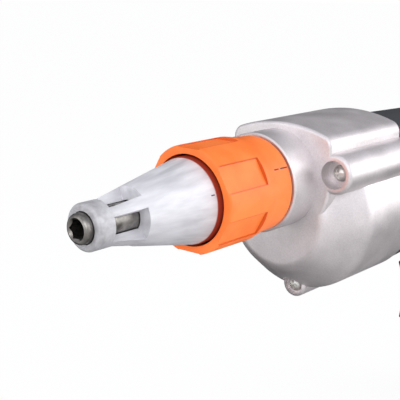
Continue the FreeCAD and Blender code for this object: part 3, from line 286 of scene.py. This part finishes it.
# moulded plastics, rubbers and ink: one colour with a spark-eroded mould grain, drawn coarse to show
mouldedPlastics = {
    "charcoal nylon": {"dark": "#26282a", "light": "#34363a", "grain": 0.8 * mm, "depth": 0.05 * mm,
                       "rough": (0.48, 0.62)},
    "black acetal": {"dark": "#0d0d0e", "light": "#18181a", "grain": 1.2 * mm, "depth": 0.01 * mm,
                     "rough": (0.3, 0.42)},
    "black phenolic": {"dark": "#121214", "light": "#1f1f22", "grain": 1.5 * mm, "depth": 0.02 * mm,
                       "rough": (0.4, 0.55)},
    "nitrile rubber": {"dark": "#0b0b0b", "light": "#171717", "grain": 1.0 * mm, "depth": 0.03 * mm,
                       "rough": (0.6, 0.75)},
    "grip rubber": {"dark": "#101112", "light": "#1b1c1e", "grain": 0.9 * mm, "depth": 0.08 * mm,
                    "rough": (0.68, 0.82)},
    "pressed carbon": {"dark": "#161618", "light": "#2a2a2d", "grain": 0.6 * mm, "depth": 0.02 * mm,
                       "rough": (0.5, 0.65)},
    "yellow polyester": {"dark": "#b98521", "light": "#d09a30", "grain": 3.0 * mm, "depth": 0.01 * mm,
                         "rough": (0.18, 0.3)},
    "printing ink": {"dark": "#1a120d", "light": "#3a2a1f", "grain": 0.6 * mm, "depth": 0.005 * mm,
                     "rough": (0.5, 0.6)},
}
mouldedSkin = {"ior": 1.5, "span": (0.3, 0.7)}


def makeMouldedPlastic(name):
    look = {**mouldedSkin, **mouldedPlastics[name]}
    material, tree, surface, place = startMaterial(name, {"IOR": look["ior"]})
    grain = addNode(tree, "ShaderNodeTexNoise", {"Scale": 1 / look["grain"], "Detail": 3.0},
                    {"Vector": place})
    finishSurface(tree, surface, look, grain, grain, grain)
    return material


slotFinishes = {
    "dark_steel": makeBlackenedSteel(),
    "bright_steel": makeFittingMetal("bright steel"),
    "magnet_steel": makeFittingMetal("sintered magnet"),
    "nose_aluminium": makeTurnedAluminium(),
    "orange_plastic": makeOrangeNylon(),
    "case_aluminium": makeBlastedAluminium(),
    "bush_bronze": makeFittingMetal("sintered bronze"),
    "black_rubber": makeMouldedPlastic("nitrile rubber"),
    "grip_rubber": makeMouldedPlastic("grip rubber"),
    "gear_steel": makeFittingMetal("ground steel"),
    "screw_steel": makeFittingMetal("zinc plated steel"),
    "core_steel": makeBandedMetal("stacked laminations"),
    "copper_wire": makeBandedMetal("enamelled copper wire"),
    "fan_plastic": makeMouldedPlastic("black phenolic"),
    "carbon": makeMouldedPlastic("pressed carbon"),
    "brush_brass": makeFittingMetal("drawn brass"),
    "housing_plastic": makeMouldedPlastic("charcoal nylon"),
    "control_plastic": makeMouldedPlastic("black acetal"),
    "capacitor_plastic": makeMouldedPlastic("yellow polyester"),
}
slotFinishes["switch_plastic"] = slotFinishes["fan_plastic"]
printingInk = makeMouldedPlastic("printing ink")

bodyOf = {}
for bodyName, members in frame["record"]["behaviour"]["bodies"].items():
    for member in members:
        bodyOf[member] = bodyName
slotOf = {entry["node"]: entry["material_slot"] for entry in frame["record"]["subparts"]}
for node, solid in frame["nodes"].items():
    solid.data.materials.clear()
    solid.data.materials.append(slotFinishes[slotOf[node]])
print("materials made:", len(bpy.data.materials))


# Outer pieces: each CAD solid that shows is dressed by a merged copy with smooth faces and eased edges

# how far each piece's edges are eased, in mm
outerPieces = {
    "bit_holder": 0.25, "nose_locator": 0.3, "depth_ring": 0.35, "gear_case": 0, "case_screws": 0.15,
    "housing_left": 0, "housing_right": 0, "housing_screws": 0.12, "grip_left": 0, "grip_right": 0,
    "trigger": 0.4, "reverse_lever": 0.4, "lock_button": 0.2, "cord_inlet": 0.3,
}
# faces that lean less than flat are made one, and edges under smooth are shaded round
outerSkin = {"merge": 0.002 * mm, "flat": math.radians(0.6), "smooth": math.radians(32), "segments": 2}
# the housing halves' outer edges along y = 0: flatShare and wallShare tell the joint's face from the wall's
partingLine = {"pieces": ("housing_left", "housing_right"), "width": 0.3 * mm, "onPlane": 0.01 * mm,
               "flatShare": 0.99, "wallShare": 0.7, "look": 0.4 * mm, "reach": 150 * mm}


# an edge is on the outside where nothing stands before the wall's face
def partingEdges(shape):
    walls = BVHTree.FromBMesh(shape)
    found = []
    for edge in shape.edges:
        if len(edge.link_faces) != 2 or any(abs(vert.co.y) > partingLine["onPlane"] for vert in edge.verts):
            continue
        flat, wall = sorted(edge.link_faces, key=lambda face: -abs(face.normal.y))
        if abs(flat.normal.y) < partingLine["flatShare"] or abs(wall.normal.y) > partingLine["wallShare"]:
            continue
        middle = (edge.verts[0].co + edge.verts[1].co) / 2
        start = middle + (wall.normal - flat.normal) * partingLine["look"]
        if walls.ray_cast(start, wall.normal, partingLine["reach"])[0] is None:
            found.append(edge)
    return found


def dress(node, ease):
    mesh = frame["nodes"][node].data.copy()
    shape = bmesh.new()
    shape.from_mesh(mesh)
    bmesh.ops.remove_doubles(shape, verts=shape.verts, dist=outerSkin["merge"])
    if ease or node in partingLine["pieces"]:
        bmesh.ops.dissolve_limit(shape, angle_limit=outerSkin["flat"], verts=shape.verts, edges=shape.edges)
    if node in partingLine["pieces"]:
        edges = partingEdges(shape)
        bmesh.ops.bevel(shape, geom=edges, offset=partingLine["width"], segments=1, affect="EDGES",
                        clamp_overlap=True)
        print("parting line:", node, len(edges), "edges")
    for edge in shape.edges:
        edge.smooth = len(edge.link_faces) == 2 and edge.calc_face_angle(0) < outerSkin["smooth"]
    for face in shape.faces:
        face.smooth = True
    shape.to_mesh(mesh)
    shape.free()
    piece = bpy.data.objects.new(node + "_dressed", mesh)
    bpy.context.scene.collection.objects.link(piece)
    if ease:
        bevel = piece.modifiers.new("eased edges", "BEVEL")
        bevel.width = ease * mm
        bevel.segments = outerSkin["segments"]
        bevel.limit_method = "ANGLE"
        bevel.angle_limit = outerSkin["smooth"]
        bevel.harden_normals = True
    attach(piece, bodyOf[node])
    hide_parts(node)
    return piece


for node, ease in outerPieces.items():
    dress(node, ease)
print("outer pieces dressed:", len(outerPieces))


# Springs flatten towards their fixed end as their joint is pressed; here each is only dressed with a mesh of
# its own, and its anchor is given in mm

pressedSprings = {
    "clutch_spring": {"joint": "spindle_push", "axis": (1, 0, 0), "anchor": (-127.1, 0, 0), "keep": 0.43},
    "trigger_spring": {"joint": "trigger_press", "axis": (-0.978, 0, 0.208), "anchor": (-249.97, 0, -76.01),
                       "keep": 0.12},
}
for node, spring in pressedSprings.items():
    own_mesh(dress(node, 0))
print("springs fitted:", len(pressedSprings))


# Printed marks: thin strips of ink laid along the turned surfaces, in mm and degrees

ringMark = {"angle": 28.0, "dashes": ((0.0, 0.38), (0.5, 1.0)), "front": -81.3, "rear": -90.4,
            "frontRadius": 19.33, "rearRadius": 18.81, "width": 0.55, "lift": 0.02}
noseMark = {"angle": 18.0, "dashes": ((0.0, 1.0),), "front": -49.0, "rear": -50.5, "frontRadius": 15.435,
            "rearRadius": 15.725, "width": 0.4, "lift": 0.03}
inkStrip = {"steps": 8, "thickness": 0.04}


def layMark(name, mark, body):
    shape = bmesh.new()
    steps = inkStrip["steps"]
    for start, end in mark["dashes"]:
        rows = []
        for step in range(steps + 1):
            share = start + (end - start) * step / steps
            x = mark["front"] + (mark["rear"] - mark["front"]) * share
            radius = mark["frontRadius"] + (mark["rearRadius"] - mark["frontRadius"]) * share + mark["lift"]
            row = []
            for side in (-0.5, 0.5):
                turn = math.radians(mark["angle"]) + side * mark["width"] / radius
                corner = (x, radius * math.cos(turn), radius * math.sin(turn))
                row.append(shape.verts.new([part * mm for part in corner]))
            rows.append(row)
        for near, far in zip(rows, rows[1:]):
            shape.faces.new((near[0], near[1], far[1], far[0]))
    bmesh.ops.recalc_face_normals(shape, faces=shape.faces)
    mesh = bpy.data.meshes.new(name)
    shape.to_mesh(mesh)
    shape.free()
    mesh.materials.append(printingInk)
    piece = bpy.data.objects.new(name, mesh)
    bpy.context.scene.collection.objects.link(piece)
    thickness = piece.modifiers.new("ink", "SOLIDIFY")
    thickness.thickness = inkStrip["thickness"] * mm
    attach(piece, body)


layMark("ring_mark", ringMark, "ring")
layMark("nose_mark", noseMark, "locator")
print("marks printed")


# Grown pieces: a node tree is run once on an empty mesh, and its result is kept as a plain mesh

def startTree(name, settings, kinds, result):
    tree = bpy.data.node_groups.new(name, "GeometryNodeTree")
    for socket in settings:
        kind = "NodeSocket" + kinds.get(socket, "Float")
        tree.interface.new_socket(socket, in_out="INPUT", socket_type=kind)
    tree.interface.new_socket(result, in_out="OUTPUT", socket_type="NodeSocketGeometry")
    return tree, addNode(tree, "NodeGroupInput").outputs


def growFromTree(name, tree, settings, body):
    piece = bpy.data.objects.new(name, bpy.data.meshes.new(name))
    bpy.context.scene.collection.objects.link(piece)
    grower = piece.modifiers.new(name, "NODES")
    grower.node_group = tree
    for socket in tree.interface.items_tree:
        if socket.in_out == "INPUT":
            grower[socket.identifier] = settings[socket.name]
    bpy.context.view_layer.update()
    grown = piece.evaluated_get(bpy.context.evaluated_depsgraph_get())
    mesh = bpy.data.meshes.new_from_object(grown)
    piece.modifiers.remove(grower)
    piece.data = mesh
    # the dots' tree leaves these two on its points
    for attribute in ("lean", "met"):
        if attribute in mesh.attributes:
            mesh.attributes.remove(mesh.attributes[attribute])
    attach(piece, body)
    print(name + ":", len(mesh.polygons), "faces")


# Neck thread: a fine helix under the depth ring, bared when the ring is screwed forward

neckThread = {"Radius": 15.4 * mm, "Ridge": 0.2 * mm, "Sides": 6, "Turns": 16.0, "Steps": 48,
              "Length": 24 * mm, "Start": -91.2 * mm, "Lay": (0, math.radians(90), 0),
              "Finish": slotFinishes["case_aluminium"]}


def makeThreadTree():
    kinds = {"Sides": "Int", "Steps": "Int", "Lay": "Vector", "Finish": "Material"}
    tree, given = startTree("neck thread", neckThread, kinds, "Thread")
    helix = addNode(tree, "GeometryNodeCurveSpiral", links={"Resolution": given["Steps"],
                    "Rotations": given["Turns"], "Start Radius": given["Radius"],
                    "End Radius": given["Radius"], "Height": given["Length"]})
    ridge = addNode(tree, "GeometryNodeCurvePrimitiveCircle", links={"Resolution": given["Sides"],
                    "Radius": given["Ridge"]})
    swept = addNode(tree, "GeometryNodeCurveToMesh", {"Fill Caps": True},
                    {"Curve": helix, "Profile Curve": ridge})
    place = addNode(tree, "ShaderNodeCombineXYZ", links={"X": given["Start"]})
    laid = addNode(tree, "GeometryNodeTransform", links={"Geometry": swept, "Translation": place,
                   "Rotation": given["Lay"]})
    solid = addNode(tree, "GeometryNodeRealizeInstances", links={"Geometry": laid})
    finished = addNode(tree, "GeometryNodeSetMaterial",
                       links={"Geometry": solid, "Material": given["Finish"]})
    addNode(tree, "NodeGroupOutput", links={"Thread": finished})
    return tree


growFromTree("neck_thread", makeThreadTree(), neckThread, "housing")


# Grip dots: low domes in staggered rows round the back of the handle, on both rubber halves
# an even number of rows keeps the stagger, and Facing is how squarely a ray has to meet the rubber

gripDots = {
    "Left": frame["nodes"]["grip_left"], "Right": frame["nodes"]["grip_right"],
    "Finish": slotFinishes["grip_rubber"], "Rows": 24, "Columns": 10, "Pitch": 3.4 * mm,
    "Step": math.radians(12), "Seam": math.radians(2), "Radius": 0.95 * mm, "Height": 0.35 * mm,
    "Segments": 8, "Rings": 6, "Middle": 45 * mm, "Axis": 28.5 * mm, "Reach": 26 * mm, "Facing": 0.85,
    "Crotch": (-226.65 * mm, 0, -52.85 * mm), "Tilt": (0, math.radians(12), 0),
}


def makeDotTree():
    kinds = {"Left": "Object", "Right": "Object", "Finish": "Material", "Rows": "Int", "Columns": "Int",
             "Segments": "Int", "Rings": "Int", "Crotch": "Vector", "Tilt": "Vector"}
    tree, given = startTree("rubber dots", gripDots, kinds, "Dots")
    times = {"operation": "MULTIPLY"}
    negate = {"operation": "MULTIPLY", 1: -1.0}
    reverse = {"operation": "SCALE", "Scale": -1.0}

    # the rubber is brought level at the origin, where the rays are cast
    joined = addNode(tree, "GeometryNodeJoinGeometry")
    for half in ("Left", "Right"):
        rubber = addNode(tree, "GeometryNodeObjectInfo", links={"Object": given[half]})
        tree.links.new(rubber.outputs["Geometry"], joined.inputs["Geometry"])
    toOrigin = addNode(tree, "ShaderNodeVectorMath", reverse, {0: given["Crotch"]})
    toLevel = addNode(tree, "ShaderNodeVectorMath", reverse, {0: given["Tilt"]})
    moved = addNode(tree, "GeometryNodeTransform", links={"Geometry": joined, "Translation": toOrigin})
    level = addNode(tree, "GeometryNodeTransform", links={"Geometry": moved, "Rotation": toLevel})

    # grid columns are angles round the handle, rows run down it, and odd rows shift by half a step
    columnGaps = addNode(tree, "ShaderNodeMath", {"operation": "SUBTRACT", 1: 1.0}, {0: given["Columns"]})
    rowGaps = addNode(tree, "ShaderNodeMath", {"operation": "SUBTRACT", 1: 1.0}, {0: given["Rows"]})
    wide = addNode(tree, "ShaderNodeMath", times, {0: columnGaps, 1: given["Step"]})
    tall = addNode(tree, "ShaderNodeMath", times, {0: rowGaps, 1: given["Pitch"]})
    grid = addNode(tree, "GeometryNodeMeshGrid", links={"Size X": wide, "Size Y": tall,
                   "Vertices X": given["Columns"], "Vertices Y": given["Rows"]})
    position = addNode(tree, "GeometryNodeInputPosition")
    spot = addNode(tree, "ShaderNodeSeparateXYZ", links={"Vector": position}).outputs
    index = addNode(tree, "GeometryNodeInputIndex")
    odd = addNode(tree, "ShaderNodeMath", {"operation": "MODULO", 1: 2.0}, {0: index})
    halfStep = addNode(tree, "ShaderNodeMath", {"operation": "MULTIPLY", 1: 0.5}, {0: given["Step"]})
    fromSeam = addNode(tree, "ShaderNodeMath", {"operation": "MULTIPLY_ADD"},
                       {0: odd, 1: halfStep, 2: given["Seam"]})
    spread = addNode(tree, "ShaderNodeMath", {"operation": "ABSOLUTE"}, {0: spot["X"]})
    turn = addNode(tree, "ShaderNodeMath", {"operation": "ADD"}, {0: spread, 1: fromSeam})
    side = addNode(tree, "ShaderNodeMath", {"operation": "SIGN"}, {0: spot["X"]})
    angle = addNode(tree, "ShaderNodeMath", times, {0: turn, 1: side})
    cosine = addNode(tree, "ShaderNodeMath", {"operation": "COSINE"}, {0: angle})
    sine = addNode(tree, "ShaderNodeMath", {"operation": "SINE"}, {0: angle})
    back = addNode(tree, "ShaderNodeMath", negate, {0: cosine})
    outward = addNode(tree, "ShaderNodeCombineXYZ", links={"X": back, "Y": sine})
    inward = addNode(tree, "ShaderNodeVectorMath", reverse, {0: outward})
    down = addNode(tree, "ShaderNodeMath", {"operation": "ADD"}, {0: given["Middle"], 1: spot["Y"]})
    axisX = addNode(tree, "ShaderNodeMath", negate, {0: given["Axis"]})
    axisZ = addNode(tree, "ShaderNodeMath", negate, {0: down})
    axis = addNode(tree, "ShaderNodeCombineXYZ", links={"X": axisX, "Z": axisZ})
    reach = addNode(tree, "ShaderNodeVectorMath", {"operation": "SCALE"},
                    {0: outward, "Scale": given["Reach"]})
    start = addNode(tree, "ShaderNodeVectorMath", {"operation": "ADD"}, {0: axis, 1: reach})
    ray = addNode(tree, "GeometryNodeRaycast", links={"Target Geometry": level, "Source Position": start,
                  "Ray Direction": inward, "Ray Length": given["Reach"]}).outputs

    # a dot stays where its ray meets rubber squarely, not in a screw pocket or past the edge
    facing = addNode(tree, "ShaderNodeVectorMath", {"operation": "DOT_PRODUCT"},
                     {0: ray["Hit Normal"], 1: outward}).outputs["Value"]
    square = addNode(tree, "ShaderNodeMath", {"operation": "GREATER_THAN"}, {0: facing, 1: given["Facing"]})
    met = addNode(tree, "ShaderNodeMath", times, {0: ray["Is Hit"], 1: square})
    leaning = addNode(tree, "GeometryNodeStoreNamedAttribute", {"data_type": "FLOAT_VECTOR", "Name": "lean"},
                      {"Geometry": grid, "Value": ray["Hit Normal"]})
    chosen = addNode(tree, "GeometryNodeStoreNamedAttribute", {"data_type": "FLOAT", "Name": "met"},
                     {"Geometry": leaning, "Value": met})
    landed = addNode(tree, "GeometryNodeSetPosition",
                     links={"Geometry": chosen, "Position": ray["Hit Position"]})

    lean = addNode(tree, "GeometryNodeInputNamedAttribute", {"data_type": "FLOAT_VECTOR", "Name": "lean"})
    kept = addNode(tree, "GeometryNodeInputNamedAttribute", {"data_type": "FLOAT", "Name": "met"})
    stand = addNode(tree, "FunctionNodeAlignRotationToVector", {"axis": "Z"}, {"Vector": lean})
    ball = addNode(tree, "GeometryNodeMeshUVSphere", links={"Segments": given["Segments"],
                   "Rings": given["Rings"], "Radius": given["Radius"]})
    squash = addNode(tree, "ShaderNodeMath", {"operation": "DIVIDE"},
                     {0: given["Height"], 1: given["Radius"]})
    low = addNode(tree, "ShaderNodeCombineXYZ", {"X": 1.0, "Y": 1.0}, {"Z": squash})
    dome = addNode(tree, "GeometryNodeTransform", links={"Geometry": ball, "Scale": low})
    dots = addNode(tree, "GeometryNodeInstanceOnPoints", links={"Points": landed, "Selection": kept,
                   "Instance": dome, "Rotation": stand})
    tilted = addNode(tree, "GeometryNodeTransform", links={"Geometry": dots, "Rotation": given["Tilt"]})
    hung = addNode(tree, "GeometryNodeTransform", links={"Geometry": tilted, "Translation": given["Crotch"]})
    smooth = addNode(tree, "GeometryNodeSetShadeSmooth", links={"Geometry": hung})
    solid = addNode(tree, "GeometryNodeRealizeInstances", links={"Geometry": smooth})
    finished = addNode(tree, "GeometryNodeSetMaterial",
                       links={"Geometry": solid, "Material": given["Finish"]})
    addNode(tree, "NodeGroupOutput", links={"Dots": finished})
    return tree


growFromTree("grip_dots", makeDotTree(), gripDots, "housing")


# Floor, light and camera: lengths are in metres, apart from the camera's, and power is in watts

stage = {"dark": "#f4f4f4", "light": "#fafafa", "span": (0.0, 1.0), "rough": 0.9, "grain": 2.5 * mm,
         "gap": 0.2 * mm, "reach": 9.0, "glow": 0.94, "toFront": (0.9, 0.45, 0.0), "fallFrom": -0.3,
         "fallTo": 0.15, "mirrorBack": 0.14, "mirrorFront": 0.95, "mirrorShade": 0.03,
         "shade": (-0.15, -0.25), "shadeNear": 0.2, "shadeFar": 0.44}
floorLevel = cadBounds[0][2] - stage["gap"]
white = linear("#ffffff")


# matt paper, white to the camera: its faint grain shows only where the tool shades it
def makeFloorPaper():
    material, tree, surface, place = startMaterial("white paper", {"Roughness": stage["rough"]})
    grain = addNode(tree, "ShaderNodeTexNoise", {"Scale": 1 / stage["grain"], "Detail": 2.0},
                    {"Vector": place})
    finishSurface(tree, surface, stage, grain)
    ray = addNode(tree, "ShaderNodeLightPath").outputs
    seen = addNode(tree, "ShaderNodeMath", {"operation": "MULTIPLY", 1: stage["glow"]},
                   {0: ray["Is Camera Ray"]})
    glow = addNode(tree, "ShaderNodeEmission", {"Color": white, "Strength": 1.0})
    plain = addNode(tree, "ShaderNodeMixShader", links={0: seen, 1: surface, 2: glow})
    # metal mirrors paper that glows with painted light, bright at the front and falling dark behind the
    # tool, with a painted shadow in a pool under it
    facing = addNode(tree, "ShaderNodeVectorMath", {"operation": "DOT_PRODUCT", 1: stage["toFront"]},
                     {0: place})
    fall = addNode(tree, "ShaderNodeMapRange", {"From Min": stage["fallFrom"], "From Max": stage["fallTo"],
                   "To Min": stage["mirrorBack"], "To Max": stage["mirrorFront"]},
                   {"Value": facing.outputs["Value"]})
    away = addNode(tree, "ShaderNodeVectorMath", {"operation": "DISTANCE", 1: (*stage["shade"], floorLevel)},
                   {0: place})
    pool = addNode(tree, "ShaderNodeMapRange", {"From Min": stage["shadeNear"],
                   "From Max": stage["shadeFar"], "To Min": stage["mirrorShade"],
                   "To Max": stage["mirrorFront"]}, {"Value": away.outputs["Value"]})
    least = addNode(tree, "ShaderNodeMath", {"operation": "MINIMUM"}, {0: fall, 1: pool})
    mirrored = addNode(tree, "ShaderNodeEmission", {"Color": white}, {"Strength": least})
    mix = addNode(tree, "ShaderNodeMixShader", links={0: ray["Is Glossy Ray"], 1: plain, 2: mirrored})
    tree.links.new(mix.outputs["Shader"], tree.nodes["Material Output"].inputs["Surface"])
    return material


floorMesh = bpy.data.meshes.new("floor")
floorShape = bmesh.new()
corners = []
for x, y in ((-1, -1), (1, -1), (1, 1), (-1, 1)):
    corners.append(floorShape.verts.new((x * stage["reach"], y * stage["reach"], floorLevel)))
floorShape.faces.new(corners)
floorShape.to_mesh(floorMesh)
floorShape.free()
floorMesh.materials.append(makeFloorPaper())
floor = bpy.data.objects.new("floor", floorMesh)
bpy.context.scene.collection.objects.link(floor)

# bright on the camera's side, a little more so overhead, and dark behind the tool
skyLight = {"tint": "#f5f7fd", "low": 0.05, "high": 0.85, "horizon": 1.06, "zenith": 1.25, "turnFrom": -0.95,
            "turnTo": 0.05, "back": 0.06, "front": 1.0, "toFront": (0.75, 0.66, 0.0)}


def makeWorld():
    world = bpy.data.worlds.new("soft studio")
    world.use_nodes = True
    tree = world.node_tree
    tree.nodes.clear()
    place = addNode(tree, "ShaderNodeTexCoord").outputs["Generated"]
    height = addNode(tree, "ShaderNodeSeparateXYZ", links={"Vector": place}).outputs["Z"]
    rise = addNode(tree, "ShaderNodeMapRange", {"From Min": skyLight["low"], "From Max": skyLight["high"],
                   "To Min": skyLight["horizon"], "To Max": skyLight["zenith"]}, {"Value": height})
    facing = addNode(tree, "ShaderNodeVectorMath", {"operation": "DOT_PRODUCT", 1: skyLight["toFront"]},
                     {0: place}).outputs["Value"]
    turn = addNode(tree, "ShaderNodeMapRange", {"From Min": skyLight["turnFrom"],
                   "From Max": skyLight["turnTo"], "To Min": skyLight["back"],
                   "To Max": skyLight["front"]}, {"Value": facing})
    level = addNode(tree, "ShaderNodeMath", {"operation": "MULTIPLY"}, {0: rise, 1: turn})
    soft = addNode(tree, "ShaderNodeBackground", {"Color": linear(skyLight["tint"])}, {"Strength": level})
    plain = addNode(tree, "ShaderNodeBackground", {"Color": white, "Strength": 1.0})
    ray = addNode(tree, "ShaderNodeLightPath").outputs
    mix = addNode(tree, "ShaderNodeMixShader", links={0: ray["Is Camera Ray"], 1: soft, 2: plain})
    addNode(tree, "ShaderNodeOutputWorld", links={"Surface": mix})
    bpy.context.scene.world = world


makeWorld()

lamps = {
    "key": {"place": (-0.68, 0.66, 0.15), "aim": (-0.1, 0, 0), "size": 0.8, "power": 4.6},
    "front": {"place": (0.75, 0.55, 0.45), "aim": (-0.08, 0, -0.02), "size": 0.5, "power": 2.9},
    "fill": {"place": (0.9, -0.45, 0.2), "aim": (-0.08, 0, 0), "size": 0.6, "power": 1.5},
}
for name, lamp in lamps.items():
    light = bpy.data.lights.new(name, "AREA")
    light.size = lamp["size"]
    light.energy = lamp["power"]
    holder = bpy.data.objects.new(name, light)
    holder.location = lamp["place"]
    holder.rotation_euler = (Vector(lamp["aim"]) - Vector(lamp["place"])).to_track_quat("-Z", "Y").to_euler()
    bpy.context.scene.collection.objects.link(holder)

# all but the direction it looks in is in mm
cameraView = {"place": (180.7, 211.9, 76.6), "look": (-0.72913, -0.64261, -0.23542), "lens": 81,
              "sensor": 36, "near": 5}
camera = bpy.data.objects.new("camera", bpy.data.cameras.new("camera"))
camera.location = Vector(cameraView["place"]) * mm
camera.rotation_euler = Vector(cameraView["look"]).to_track_quat("-Z", "Y").to_euler()
camera.data.lens = cameraView["lens"]
camera.data.sensor_width = cameraView["sensor"]
camera.data.clip_start = cameraView["near"] * mm
bpy.context.scene.collection.objects.link(camera)
bpy.context.scene.camera = camera
bpy.context.scene.view_settings.view_transform = "Standard"
print("stage, lamps and camera set")
